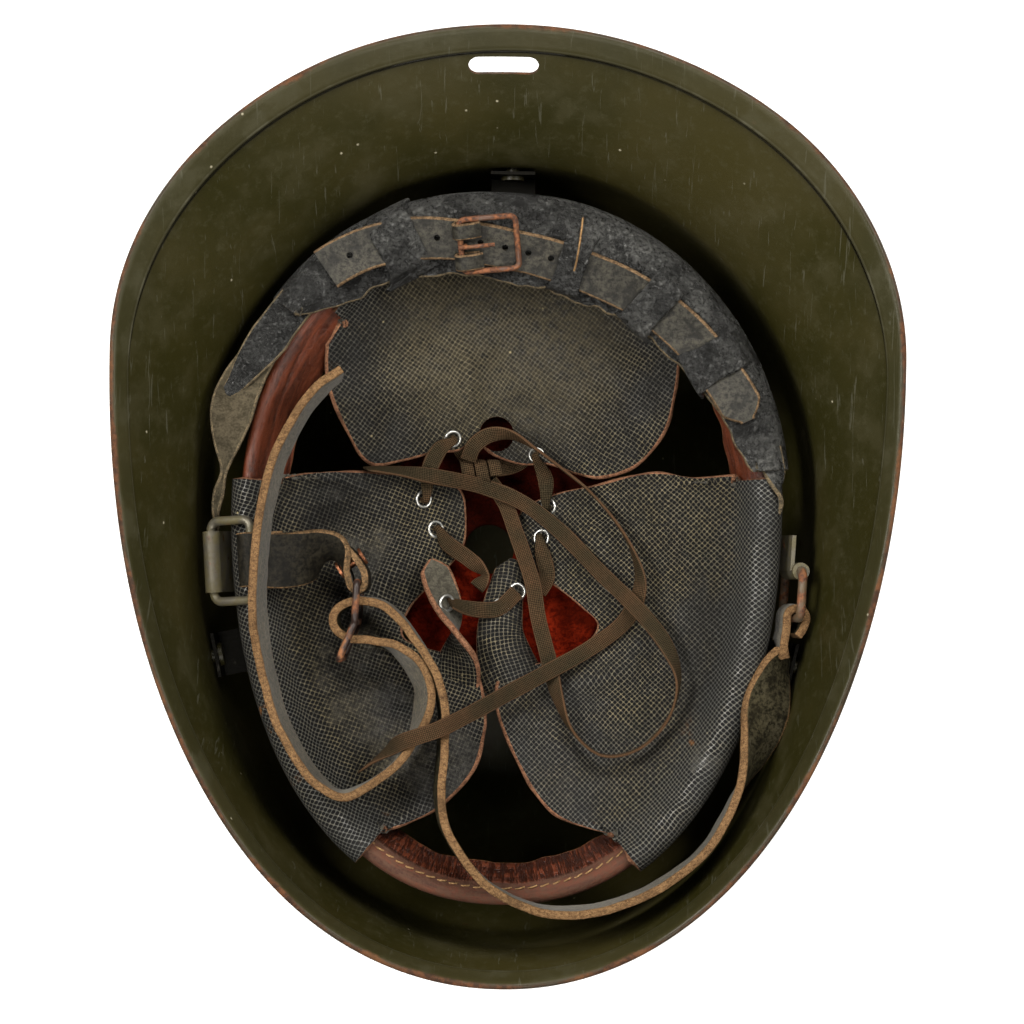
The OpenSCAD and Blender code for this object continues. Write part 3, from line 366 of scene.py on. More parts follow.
def mix(share, a, b):
    """Colour a, with a share of colour b over it. A colour is a socket or three numbers."""
    a, b = (c if is_socket(c) else (*c, 1.0) for c in (a, b))
    return node("Mix", {0: share, 6: a, 7: b}, data_type="RGBA").outputs[2]


def dimmed(colour, k):
    """A colour times a number."""
    return tuple(k * c for c in colour)


def noise(vector, scale, detail=4.0, rough=0.55, stretch=None, distortion=0.0):
    """Smooth noise from 0 to 1. Stretch multiplies the place, so a small number draws streaks that way."""
    if stretch is not None:
        vector = node("VectorMath", {0: vector, 1: stretch}, operation="MULTIPLY").outputs[0]
    return node("TexNoise", {"Vector": vector, "Scale": scale, "Detail": detail,
                             "Roughness": rough, "Distortion": distortion}).outputs["Fac"]


def group(name, numbers, outputs):
    """An empty node group: a place and some numbers in, masks or colours out. Returns its tree, its inputs
    and its output node."""
    tree = bpy.data.node_groups.new(name, "ShaderNodeTree")
    tree.interface.new_socket(name="Vector", in_out="INPUT", socket_type="NodeSocketVector")
    for key, value in numbers.items():
        tree.interface.new_socket(name=key, in_out="INPUT", socket_type="NodeSocketFloat").default_value = value
    for key, kind in outputs.items():
        tree.interface.new_socket(name=key, in_out="OUTPUT", socket_type="NodeSocket" + kind)
    given = tree.nodes.new("NodeGroupInput")
    return tree, {k: given.outputs[k] for k in ("Vector", *numbers)}, tree.nodes.new("NodeGroupOutput")


def use(shared, inputs):
    """Places a node group in a finish."""
    return node("Group", inputs, node_tree=shared).outputs


def finish(name, rough=0.6, metal=0.0, shine=0.5, **constants):
    """A new material with one Principled shader. Numbers that don't change go straight on its sockets.
    It also gives the place in metres and the piece's own pattern, to work from."""
    mat = bpy.data.materials.new(name)
    mat.use_nodes = True
    tree = mat.node_tree
    tree.nodes.clear()
    out = tree.nodes.new("ShaderNodeOutputMaterial")
    shader = source(tree, "BsdfPrincipled", {"Roughness": rough, "Metallic": metal, "Specular IOR Level": shine})
    for key, value in constants.items():
        shader.inputs[key.replace("_", " ")].default_value = value
    feed(out, {0: shader.outputs[0]})
    place = source(tree, "TexCoord").outputs["Object"]
    on_skin = source(tree, "UVMap", uv_map="pattern").outputs[0]
    return mat, shader, place, on_skin


def bump(shader, height, depth, strength=1.0):
    """Bump of a real depth in metres."""
    n = node("Bump", {"Height": height, "Distance": depth, "Strength": strength})
    feed(shader, {"Normal": n.outputs[0]})


# %% [markdown]
# Shared effects. Patches are smooth noise cut to a mask. Specks are the cores of Voronoi cells, kept
# only where the cell's own random number is high, so they scatter. The pressed grid is two families of lines whose
# crossing squares hold dark pits, bent a little by noise, as the printed grain of the pads is.

# %% Shared effects
def make_patches():
    """Mask: noise mapped from Low..High to 0..1."""
    tree, i, out = group("patches", {"Scale": 20.0, "Low": 0.45, "High": 0.6}, {"Mask": "Float"})
    n = noise(i["Vector"], i["Scale"], 5.0, 0.6)
    feed(out, {"Mask": spread(n, i["Low"], i["High"])})
    return tree


def make_specks():
    """Mask: the core of each cell, where the cell's random number is over Rare."""
    tree, i, out = group("specks", {"Scale": 200.0, "Size": 0.15, "Rare": 0.6}, {"Mask": "Float"})
    cells = node("TexVoronoi", {"Vector": i["Vector"], "Scale": i["Scale"]}, feature="F1")
    core = spread(cells.outputs["Distance"], i["Size"], 0.0)
    sort = node("SeparateColor", {0: cells.outputs["Color"]}).outputs[0]
    kept = maths("GREATER_THAN", sort, i["Rare"])
    feed(out, {"Mask": times(core, kept)})
    return tree


def make_grid():
    """Pits: |sin(pi x / pitch) sin(pi y / pitch)| of a place that noise has pushed a little."""
    tree, i, out = group("pressed_grid", {"Pitch": 0.0013}, {"Pits": "Float"})
    bend = node("TexNoise", {"Vector": i["Vector"], "Scale": 90.0, "Detail": 2.0})
    push = node("VectorMath", {0: bend.outputs["Color"], 1: (0.0016, 0.0016, 0.0)}, operation="MULTIPLY").outputs[0]
    moved = node("VectorMath", {0: i["Vector"], 1: push}, operation="ADD").outputs[0]
    part = node("SeparateXYZ", {0: moved})
    turns = [times(maths("DIVIDE", part.outputs[k], i["Pitch"]), np.pi) for k in (0, 1)]
    wave = [maths("ABSOLUTE", maths("SINE", t)) for t in turns]
    feed(out, {"Pits": spread(times(wave[0], wave[1]), 0.10, 0.34)})
    return tree


def make_weave():
    """Threads that cross at 45 degrees: sin(pi (u + v)) sin(pi (u - v)), with fuzz over them."""
    tree, i, out = group("weave", {"Pitch": 0.0007}, {"Height": "Float", "Light": "Float"})
    part = node("SeparateXYZ", {0: i["Vector"]})
    u = maths("DIVIDE", part.outputs[0], i["Pitch"])
    v = maths("DIVIDE", part.outputs[1], i["Pitch"])
    a = maths("SINE", times(plus(u, v), np.pi))
    b = maths("SINE", times(minus(u, v), np.pi))
    h = spread(times(a, b), -1.0, 1.0)
    fuzz = noise(i["Vector"], 1100.0, 5.0, 0.75)
    feed(out, {"Height": plus(times(h, 0.6), times(fuzz, 0.5)), "Light": plus(times(h, 0.45), times(fuzz, 0.55))})
    return tree


def make_fibres():
    """Long and short hairs, as a height and as how light they are."""
    tree, i, out = group("fibres", {"Scale": 900.0}, {"Height": "Float", "Light": "Float"})
    long_hair = noise(i["Vector"], i["Scale"], 4.0, 0.7, (0.7, 1.0, 1.0), 0.6)
    short_hair = noise(i["Vector"], times(i["Scale"], 2.7), 3.0, 0.65)
    both = plus(times(long_hair, 0.6), times(short_hair, 0.4))
    feed(out, {"Height": both, "Light": spread(both, 0.38, 0.62)})
    return tree


def make_rust():
    """Brown to orange crusts, as a colour and a height."""
    tree, i, out = group("rust", {"Scale": 300.0}, {"Colour": "Color", "Height": "Float"})
    fine = noise(i["Vector"], i["Scale"], 6.0, 0.7)
    coarse = noise(i["Vector"], times(i["Scale"], 0.22), 3.0)
    share = spread(fine, 0.38, 0.64)
    warm = mix(share, (0.045, 0.018, 0.010), (0.235, 0.085, 0.032))
    orange = spread(coarse, 0.5, 0.7, 0.0, 0.6)
    feed(out, {"Colour": mix(orange, warm, (0.33, 0.14, 0.05)), "Height": fine})
    return tree


PATCHES, SPECKS, GRID = make_patches(), make_specks(), make_grid()
WEAVE, FIBRES, RUST = make_weave(), make_fibres(), make_rust()
print("shared effects", sorted(g.name for g in bpy.data.node_groups))


def patches(vector, scale, low, high):
    """The mask of soft patches."""
    return use(PATCHES, {"Vector": vector, "Scale": scale, "Low": low, "High": high})[0]


def specks(vector, scale, size, rare):
    """The mask of scattered specks."""
    return use(SPECKS, {"Vector": vector, "Scale": scale, "Size": size, "Rare": rare})[0]


# %% [markdown]
# ## Finishes
# Painted steel: a dark olive coat, browner where it is rubbed thin, greyer where dust lies, with fine
# scratches, pale specks, and rust that creeps in from the rim. The UV map's second number is the
# distance from the rim, so rust keeps to the edge. Its first number counts along the profile, 2 at the
# rim, so that the paler worn hem, the painted shade in the groove beside the fold and the painted
# highlight along the hem's ridge follow the fold.

# %% Painted steel
def helmet_paint():
    """The shell's coat in layers, from the paint to the dirt, the specks and the rust, with painted shade in
    the hem's groove and a painted highlight on its ridge.
    """
    mat, shader, place, skin = finish("helmet_paint", shine=0.28)
    across, rim = node("SeparateXYZ", {0: skin}).outputs[:2]
    wide = patches(place, 11.0, 0.40, 0.64)
    small = patches(place, 60.0, 0.5, 0.7)
    colour = mix(wide, (0.0225, 0.0205, 0.0040), (0.038, 0.032, 0.0090))
    colour = mix(times(small, 0.4), colour, (0.056, 0.050, 0.023))
    dust = spread(noise(place, 300.0, 5.0, 0.75), 0.5, 0.72, 0.0, 0.40)
    colour = mix(dust, colour, (0.062, 0.058, 0.030))
    scratch = spread(noise(place, 60.0, 3.0, 0.6, (14.0, 0.7, 1.0), 1.5), 0.64, 0.69, 0.0, 0.35)
    colour = mix(scratch, colour, (0.12, 0.12, 0.09))
    # Painted shade: a thin dark line where the hem's groove lies.
    groove_shade = spread(maths("ABSOLUTE", minus(across, 2.136)), 0.012, 0.003)
    colour = mix(times(groove_shade, 0.8), colour, (0.006, 0.0055, 0.003))
    hem = times(spread(across, 2.126, 2.118), maths("GREATER_THAN", across, 2.0))
    hem = times(hem, spread(small, 0.0, 1.0, 0.22, 0.5))
    colour = mix(hem, colour, (0.060, 0.057, 0.032))
    # Painted highlight: a pale line along the hem's ridge, which is also a little less rough there.
    ridge_highlight = spread(maths("ABSOLUTE", minus(across, 2.113)), 0.010, 0.002)
    shine = times(ridge_highlight, spread(small, 0.0, 1.0, 0.25, 0.7))
    colour = mix(shine, colour, (0.13, 0.125, 0.085))
    dots = specks(place, 210.0, 0.13, 0.945)
    colour = mix(times(dots, 0.9), colour, (0.50, 0.46, 0.33))
    brown = specks(place, 95.0, 0.16, 0.93)
    rust = use(RUST, {"Vector": place, "Scale": 330.0})
    ragged = minus(rim, times(minus(noise(place, 45.0, 6.0, 0.7), 0.34), 0.0085))
    edge = spread(ragged, 0.0, -0.0016)
    rubbed = spread(rim, 0.0016, 0.0002)
    worn = maths("MAXIMUM", edge, times(brown, 0.8))
    colour = mix(times(rubbed, 0.75), colour, (0.036, 0.022, 0.012))
    rusted = mix(0.45, rust[0], (0.030, 0.014, 0.007))
    colour = mix(times(worn, 0.8), colour, rusted)
    feed(shader, {"Base Color": colour})
    gloss = spread(noise(place, 30.0, 4.0), 0.3, 0.7, 0.34, 0.54, False)
    gloss = minus(gloss, times(ridge_highlight, 0.12))
    feed(shader, {"Roughness": plus(gloss, times(worn, 0.35))})
    height = plus(times(noise(place, 500.0, 4.0, 0.6), 0.9), times(maths("MAXIMUM", dots, worn), 0.8))
    bump(shader, height, 0.00007, 0.9)
    return mat


def fitting_paint(name, coat, metal_share, rust_share, shine=0.5):
    """Paint worn to grey metal and rust, for lugs, bails, rivets and the hidden frame."""
    mat, shader, place, _ = finish(name, shine=shine)
    bare = patches(place, 260.0, 0.62 - metal_share, 0.8 - metal_share)
    spot = patches(place, 170.0, 0.72 - rust_share, 0.84 - rust_share)
    rust = use(RUST, {"Vector": place, "Scale": 700.0})
    mottled = mix(noise(place, 900.0, 4.0), dimmed(coat, 0.7), dimmed(coat, 1.25))
    colour = mix(times(bare, 0.8), mottled, (0.17, 0.155, 0.125))
    colour = mix(spot, colour, rust[0])
    feed(shader, {"Base Color": colour})
    feed(shader, {"Metallic": times(minus(bare, spot, clamp=True), 0.55)})
    feed(shader, {"Roughness": plus(0.40, times(spot, 0.4))})
    bump(shader, plus(rust[1], times(spot, 0.6)), 0.00012, 0.9)
    return mat


PAINT = helmet_paint()
OLIVE = fitting_paint("olive_fitting", (0.112, 0.096, 0.050), 0.20, 0.12)
RIVET = fitting_paint("rivet_paint", (0.024, 0.021, 0.007), 0.05, 0.05, 0.3)
WORN = fitting_paint("worn_fitting", (0.115, 0.075, 0.042), 0.12, 0.28)
DULL = fitting_paint("dark_spring", (0.005, 0.0045, 0.003), 0.0, 0.0, 0.08)
RUSTY = fitting_paint("rusted_wire", (0.105, 0.050, 0.030), 0.06, 0.34)
LACQUER = fitting_paint("slider_lacquer", (0.024, 0.013, 0.010), 0.03, 0.24)

# %% [markdown]
# Leather. The pads have a grid pressed into a black coat. Handling has rubbed the raised lines to khaki
# in the hollows and left the rolls dark and glossy, with a painted highlight of pale blue-grey on their
# raised lines. Cut edges show the tan fibres inside, and flesh sides are a soft grey-brown nap.

# %% Leather
def pad_grain():
    """The pads' hide: a pressed net of pits, rubbed and dusty in the bowl, dark and glossy over the roll,
    where its raised lines carry a painted highlight.
    """
    mat, shader, place, skin = finish("pad_grain", shine=0.42, Coat_Roughness=0.25)
    grid = use(GRID, {"Vector": skin, "Pitch": 0.00122})
    height_at = coordinate(place, 2)
    roll = spread(plus(height_at, times(noise(place, 60.0, 3.0), 0.006)), 0.1235, 0.131)
    worn = patches(place, 22.0, 0.38, 0.60)
    rubbed = patches(place, 120.0, 0.35, 0.68)
    plain = patches(place, 16.0, 0.58, 0.66)
    plain = times(plain, 0.5)
    grain = noise(skin, 620.0, 5.0, 0.75)
    raised = mix(worn, (0.085, 0.083, 0.074), (0.230, 0.190, 0.105))
    raised = mix(times(rubbed, 0.5), raised, (0.150, 0.140, 0.108))
    raised = mix(spread(grain, 0.40, 0.60, 0.85, 0.0), raised, (0.018, 0.0155, 0.011))
    # Painted highlight: over the roll, high on the hoop, the raised lines turn a paler blue-grey, as glints.
    raised = mix(times(roll, 0.6), raised, (0.125, 0.128, 0.120))
    flat = mix(spread(grain, 0.38, 0.64), (0.008, 0.0075, 0.0075), (0.060, 0.055, 0.046))
    pits = times(grid["Pits"], minus(1.0, plain))
    colour = mix(pits, raised, (0.0022, 0.0020, 0.0020))
    colour = mix(plain, colour, flat)
    far = node("VectorMath", {0: place, 1: (-0.002, 0.056, 0.105)}, operation="DISTANCE").outputs["Value"]
    powder = spread(noise(place, 420.0, 6.0, 0.8), 0.36, 0.62, 0.1, 1.0)
    veil = times(spread(far, 0.048, 0.022), powder)
    veil = times(veil, spread(pits, 0.0, 1.0, 0.9, 0.38))
    colour = mix(veil, colour, (0.120, 0.100, 0.058))
    orange = times(patches(place, 38.0, 0.63, 0.69), roll)
    orange = times(orange, spread(noise(place, 700.0, 3.0), 0.42, 0.56))
    colour = mix(orange, colour, (0.26, 0.105, 0.022))
    spot = specks(place, 300.0, 0.17, 0.985)
    colour = mix(times(spot, 0.9), colour, (0.60, 0.50, 0.28))
    feed(shader, {"Base Color": colour})
    gloss = spread(plus(worn, times(rubbed, 0.4)), 0.0, 1.2, 0.34, 0.58, False)
    gloss = minus(gloss, times(roll, 0.08))
    feed(shader, {"Roughness": plus(gloss, times(pits, 0.45))})
    feed(shader, {"Coat Weight": times(minus(1.0, pits), spread(roll, 0.0, 1.0, 0.04, 0.40))})
    height = minus(times(grain, 0.6), pits)
    bump(shader, height, 0.0005)
    return mat


def cut_edge(name, dark, light, scale=900.0):
    """Short fibres with dark gaps between them and dirty patches."""
    mat, shader, place, _ = finish(name, 0.85, shine=0.25)
    hair = use(FIBRES, {"Vector": place, "Scale": scale})
    colour = mix(hair[1], dark, light)
    colour = mix(spread(noise(place, scale * 3.0, 2.0, 0.7), 0.52, 0.66, 0.0, 0.75), colour,
                          dimmed(dark, 0.3))
    dirty = patches(place, 90.0, 0.5, 0.72)
    colour = mix(times(dirty, 0.55), colour, dimmed(dark, 0.35))
    feed(shader, {"Base Color": colour})
    bump(shader, hair[0], 0.0004)
    return mat


def beside_edge(skin, place):
    """A ragged mask of the last half millimetre beside a strap's cut edges."""
    side = maths("ABSOLUTE", coordinate(skin, 1))
    side = plus(side, times(noise(place, 500.0, 4.0), 0.0008))
    return times(spread(side, 0.0078, 0.0086), 0.85)


def suede(name, dark, light, scale=520.0, margin=None):
    """A soft nap. With a margin colour, the strip beside a strap's cut edges takes on the edge's tan."""
    mat, shader, place, skin = finish(name, 0.92, shine=0.2, Sheen_Weight=0.15, Sheen_Roughness=0.5)
    hair = use(FIBRES, {"Vector": place, "Scale": scale})
    blot = patches(place, 45.0, 0.35, 0.7)
    colour = mix(hair[1], dark, light)
    colour = mix(times(blot, 0.4), colour, dimmed(dark, 0.45))
    if margin:
        colour = mix(beside_edge(skin, place), colour, margin)
    feed(shader, {"Base Color": colour})
    bump(shader, hair[0], 0.00035, 0.9)
    return mat


def smooth_leather(name, base, pale, depth=0.0003, scale=130.0, rough=(0.42, 0.62), pale_share=0.5,
                   shine=0.5, margin=None):
    """Plain leather: soft crumples, a fine pebble and a nap, paler where it is rubbed, with painted shade in
    the crumples' valleys.
    """
    mat, shader, place, skin = finish(name, shine=shine)
    crumple = noise(place, scale, 5.0, 0.62, None, 0.3)
    cells = node("TexVoronoi", {"Vector": place, "Scale": 800.0}, feature="F1").outputs["Distance"]
    nap = spread(noise(place, 700.0, 6.0, 0.78), 0.38, 0.62)
    worn = patches(place, scale * 0.4, 0.42, 0.64)
    rubbed = times(worn, times(nap, spread(crumple, 0.38, 0.62, 0.35, 1.0)))
    colour = mix(nap, dimmed(base, 0.3), dimmed(base, 1.7))
    colour = mix(times(rubbed, pale_share), colour, pale)
    # Painted shade: the valleys of the crumples are darkened.
    colour = mix(spread(crumple, 0.36, 0.50, 0.8, 0.0), colour, dimmed(base, 0.22))
    if margin:
        at_end = spread(coordinate(place, 0), 0.055, 0.066)
        colour = mix(times(beside_edge(skin, place), at_end), colour, margin)
    feed(shader, {"Base Color": colour})
    feed(shader, {"Roughness": spread(rubbed, 0.0, 1.0, rough[0], rough[1], False)})
    height = plus(times(crumple, 3.0), times(cells, -0.35))
    bump(shader, plus(height, times(nap, 0.22)), depth)
    return mat


PAD = pad_grain()
PAD_EDGE = cut_edge("pad_cut_edge", (0.105, 0.045, 0.024), (0.34, 0.165, 0.090))
PAD_FLESH = suede("pad_flesh", (0.040, 0.036, 0.026), (0.105, 0.095, 0.072))


def brow_skin():
    """Glossy red-brown leather: streaks along its length, close wrinkles across it in front with painted
    shade in them, and a paler matt strip outside the seam. The UV map's second number runs across the
    leather from its outer edge."""
    mat, shader, place, skin = finish("brow_leather", shine=0.5)
    across = coordinate(skin, 1)
    front = spread(coordinate(place, 1), -0.030, -0.060)
    inside = spread(across, 0.0132, 0.0146)
    streak = noise(skin, 420.0, 5.0, 0.65, (0.10, 1.0, 1.0), 0.2)
    wrinkle = noise(skin, 620.0, 4.0, 0.6, (1.0, 0.16, 1.0), 0.9)
    wrinkle = spread(maths("ABSOLUTE", minus(wrinkle, 0.5)), 0.0, 0.09)
    wrinkle = times(times(minus(1.0, wrinkle), front), inside)
    nap = spread(noise(place, 620.0, 6.0, 0.75), 0.38, 0.62)
    colour = mix(spread(streak, 0.40, 0.60), (0.038, 0.0080, 0.0030), (0.135, 0.031, 0.0120))
    colour = mix(times(nap, 0.3), colour, (0.17, 0.050, 0.024))
    # Painted shade: the wrinkles' hollows are darkened.
    colour = mix(times(wrinkle, 0.85), colour, (0.020, 0.0045, 0.0018))
    outer = times(minus(1.0, inside), front)
    pale = times(outer, spread(nap, 0.0, 1.0, 0.35, 0.8))
    colour = mix(pale, colour, (0.080, 0.038, 0.020))
    feed(shader, {"Base Color": colour})
    feed(shader, {"Roughness": spread(outer, 0.0, 1.0, 0.38, 0.8, False)})
    height = minus(times(nap, 0.15), wrinkle)
    bump(shader, plus(height, times(streak, 0.6)), 0.0005)
    return mat


BROW = brow_skin()
BROW_EDGE = cut_edge("brow_cut_edge", (0.10, 0.040, 0.016), (0.27, 0.12, 0.055))
BAND = smooth_leather("band_leather", (0.027, 0.0275, 0.0270), (0.130, 0.130, 0.122), 0.0012, 95.0, (0.26, 0.46), 0.7)
BAND_FLESH = suede("band_flesh", (0.032, 0.026, 0.014), (0.090, 0.073, 0.046))
BAND_EDGE = cut_edge("band_cut_edge", (0.050, 0.042, 0.028), (0.22, 0.165, 0.095))
THIN = smooth_leather("thin_strap_leather", (0.028, 0.026, 0.020), (0.085, 0.076, 0.058),
                      0.00012, 170.0, (0.5, 0.66), 0.6, 0.3)
THIN_EDGE = cut_edge("thin_strap_edge", (0.060, 0.036, 0.018), (0.235, 0.150, 0.080))
TAN = (0.20, 0.120, 0.056)
STRAP_FACE = smooth_leather("strap_face", (0.036, 0.031, 0.017), (0.080, 0.070, 0.045),
                            0.0002, 150.0, (0.85, 0.95), 0.6, 0.08, TAN)
SHORT_FACE = smooth_leather("short_strap_face", (0.013, 0.011, 0.007), (0.040, 0.034, 0.022),
                            0.0002, 150.0, (0.6, 0.8), 0.5, 0.2)
STRAP_EDGE = cut_edge("strap_cut_edge", (0.085, 0.042, 0.016), (0.285, 0.165, 0.074), 1300.0)
STRAP_SUEDE = suede("strap_suede", (0.030, 0.025, 0.014), (0.150, 0.126, 0.082), 700.0, TAN)
SHORT_EDGE = cut_edge("short_strap_edge", (0.040, 0.026, 0.012), (0.28, 0.165, 0.078), 900.0)


# %% [markdown]
# Cloth, felt and bright metal. The lace is a flat tubular weave that has browned with age. The felt
# under the tongues is deep red. The eyelets are nickel with dull spots.

# %% Lace, felt, nickel, copper and thread
def lace_cloth():
    """A woven band, browner in places, with pale hems."""
    mat, shader, place, skin = finish("lace_cloth", 0.95, shine=0.08)
    weave = use(WEAVE, {"Vector": skin, "Pitch": 0.00058})
    old = patches(place, 48.0, 0.35, 0.68)
    low = mix(old, (0.009, 0.0068, 0.0036), (0.020, 0.0110, 0.0055))
    high = mix(old, (0.056, 0.043, 0.024), (0.105, 0.060, 0.031))
    colour = mix(spread(weave["Light"], 0.34, 0.66), low, high)
    across = coordinate(skin, 1)
    hem = spread(maths("ABSOLUTE", across), 0.0019, 0.0026)
    colour = mix(times(hem, 0.5), colour, (0.14, 0.075, 0.040))
    feed(shader, {"Base Color": colour})
    bump(shader, weave["Height"], 0.00028)
    return mat


def felt():
    """Red fibres, dirty in patches, with painted shade that darkens them at the rear."""
    mat, shader, place, _ = finish("red_felt", 1.0, shine=0.03)
    hair = use(FIBRES, {"Vector": place, "Scale": 420.0})
    colour = mix(hair[1], (0.045, 0.0026, 0.0007), (0.155, 0.0110, 0.0030))
    dirty = patches(place, 26.0, 0.42, 0.62)
    colour = mix(times(dirty, 0.65), colour, (0.030, 0.0030, 0.0010))
    # Painted shade: the felt turns almost black towards the rear.
    behind = spread(coordinate(place, 1), -0.018, -0.006)
    colour = mix(times(behind, 0.85), colour, (0.006, 0.0012, 0.0006))
    feed(shader, {"Base Color": colour})
    bump(shader, hair[0], 0.0005)
    return mat


def cotton():
    """Pale woven cotton."""
    mat, shader, place, _ = finish("cushion_cotton", 0.9, shine=0.2)
    weave = use(WEAVE, {"Vector": place, "Pitch": 0.0006})
    colour = mix(weave["Light"], (0.20, 0.16, 0.10), (0.42, 0.35, 0.24))
    feed(shader, {"Base Color": colour})
    bump(shader, weave["Height"], 0.0002)
    return mat


def old_metal(name, base, stain, rough=0.32, metal=0.9):
    """Bright metal with dull spots."""
    mat, shader, place, _ = finish(name, rough, metal)
    spots = patches(place, 480.0, 0.52, 0.72)
    feed(shader, {"Base Color": mix(times(spots, 0.7), base, stain)})
    feed(shader, {"Roughness": spread(spots, 0.0, 1.0, rough, rough + 0.35, False)})
    bump(shader, noise(place, 1500.0, 4.0), 0.00005, 0.7)
    return mat


LACE, FELT, COTTON = lace_cloth(), felt(), cotton()
NICKEL = old_metal("eyelet_nickel", (0.62, 0.62, 0.60), (0.20, 0.19, 0.15), 0.30)
COPPER = old_metal("copper", (0.42, 0.17, 0.085), (0.16, 0.085, 0.05), 0.42)
THREAD = cut_edge("thread", (0.20, 0.105, 0.042), (0.48, 0.30, 0.14), 1600.0)
print("finishes", len(bpy.data.materials))

# %% [markdown]
# ## Table, light and background
# The helmet stands on a plain pale floor. Four soft panels, 50 to 58 degrees up, light it from the
# sides, as in the photograph, where the rolled pads and the flare shine and the depth of the dome falls
# to black. The world's light on the helmet is weak, and only the camera sees it white. So is the floor,
# which glows for the camera and in reflections.

# %% Floor, lights and world
WHITE = (1.0, 1.0, 1.0, 1.0)
LOOK_AT = 0.13


def add_floor():
    """A square of 6 m, white to the camera."""
    mesh = bpy.data.meshes.new("floor")
    mesh.from_pydata([(-3, -3, 0), (3, -3, 0), (3, 3, 0), (-3, 3, 0)], [], [(0, 1, 2, 3)])
    pale = bpy.data.materials.new("floor_pale")
    pale.use_nodes = True
    tree = pale.node_tree
    path = source(tree, "LightPath")
    seen = maths("MAXIMUM", path.outputs["Is Camera Ray"], path.outputs["Is Glossy Ray"])
    feed(tree.nodes["Principled BSDF"], {
        "Base Color": (0.82, 0.82, 0.82, 1.0), "Roughness": 0.9, "Emission Color": WHITE,
        "Emission Strength": times(seen, 0.55)})
    mesh.materials.append(pale)
    return add_object("floor", mesh)


def add_panel(name, azimuth, height, away, size, watts, colour=(1.0, 0.965, 0.90)):
    """A square area light that looks at the opening from a direction in degrees."""
    data = bpy.data.lights.new(name, "AREA")
    data.size, data.energy, data.color = size, watts, colour
    lamp = add_object(name, data)
    a, h = np.radians(azimuth), np.radians(height)
    lamp.location = (away * np.cos(a) * np.cos(h), away * np.sin(a) * np.cos(h), LOOK_AT + away * np.sin(h))
    lamp.rotation_euler = (np.pi / 2 - h, 0.0, a + np.pi / 2)
    return lamp


floor = add_floor()
lamps = [add_panel("panel_left", 160, 50, 1.3, 0.5, 14), add_panel("panel_right", 25, 50, 1.3, 0.5, 8.5),
         add_panel("panel_rear", 85, 52, 1.3, 0.5, 9), add_panel("panel_front", -85, 58, 1.3, 0.6, 8)]


def add_world(light=0.05, white=1.0):
    """The background: white to the camera, and a weak light on everything else."""
    world = bpy.data.worlds.new("world")
    bpy.context.scene.world = world
    world.use_nodes = True
    tree = world.node_tree
    seen = source(tree, "LightPath").outputs["Is Camera Ray"]
    strength = spread(seen, 0.0, 1.0, light, white, False)
    feed(tree.nodes["Background"], {"Color": WHITE, "Strength": strength})


add_world()
bpy.context.scene.view_settings.view_transform = "Standard"
print("lights", len(lamps))

# %% [markdown]
# ## The shapes the CAD model is made from
# The hoop is an egg in plan: half an ellipse behind its widest line and a fuller curve before it. The
# pads hang in a bowl, whose height at a place is the share of the way from the hoop's middle to the
# hoop, to a power. The dome and the flare are drawn between the crown, the brow line and the rim.

# %% Hoop, bowl and shell
W, L, RING, GUTTER, SHEET = 162.0, 213.0, 128.0, 16.0, 1.2
BACK, FRONT, MID = L * 0.42, L * 0.58, 2.5
TIP, ROLL, BROW_Z, POLE_Y = RING - 46.0, RING + 3.0, RING - 8.0, -6.0
HOOP_FULL, DOME_FULL, CROWN_FLAT = 2.2, 2.4, 0.06
RIM_HALF, RIM_LONG, RIM_MID, RIM_FULL = 120.0, 146.5, 45.5, 2.12
RIM_TOP, FRONT_DROP, REAR_DROP = 166.0, 15.0, 6.0
QUARTER = np.pi / 2


def power(x, e):
    """|x| to the power e, with the sign of x."""
    return np.sign(x) * np.abs(x) ** e


def egg(a, half, rear, front, mid, full):
    """x = half cos(a), y = mid + rear sin(a) behind; the same with both powers 2 / full in front."""
    c, s = np.cos(np.radians(a)), np.sin(np.radians(a))
    x = np.where(s >= 0, half * c, half * power(c, 2 / full))
    y = np.where(s >= 0, mid + rear * s, mid + front * power(s, 2 / full))
    return np.stack([x, y], -1)


def hoop_at(a, grow=0.0):
    """The hoop's outline in plan, or an outline that much further out."""
    return egg(a, W / 2 + grow, BACK + grow, FRONT + grow, MID, HOOP_FULL)


def hoop_out(a):
    """The direction away from the hoop in plan, square to its outline."""
    d = hoop_at(a + 0.5) - hoop_at(a - 0.5)
    return unit(np.stack([d[..., 1], -d[..., 0]], -1))


def beside(a, inward, z):
    """A place beside the hoop: so far inward of its outer face and at that height."""
    a, inward, z = np.broadcast_arrays(np.asarray(a, float), inward, z)
    p = hoop_at(a) - inward[..., None] * hoop_out(a)
    return np.concatenate([p, z[..., None]], -1)


def share(x, y):
    """((|x| / half)^e + (|y - mid| / long)^e)^(1/e): 0 in the hoop's middle and 1 on the hoop."""
    b, e = np.where(y >= MID, BACK, FRONT), np.where(y >= MID, 2.0, HOOP_FULL)
    return ((np.abs(x) / (W / 2)) ** e + (np.abs(y - MID) / b) ** e) ** (1 / e)


def bowl(x, y):
    """The height at which the pads lie: from TIP in the middle to ROLL at the hoop."""
    return TIP + (ROLL - TIP) * np.minimum(share(x, y), 1) ** 1.1


def rim_height(a):
    """The rim is highest at its sides, and falls by sin squared to the front and the rear."""
    s = np.sin(np.radians(a))
    return RIM_TOP - np.where(s < 0, FRONT_DROP, REAR_DROP) * s ** 2


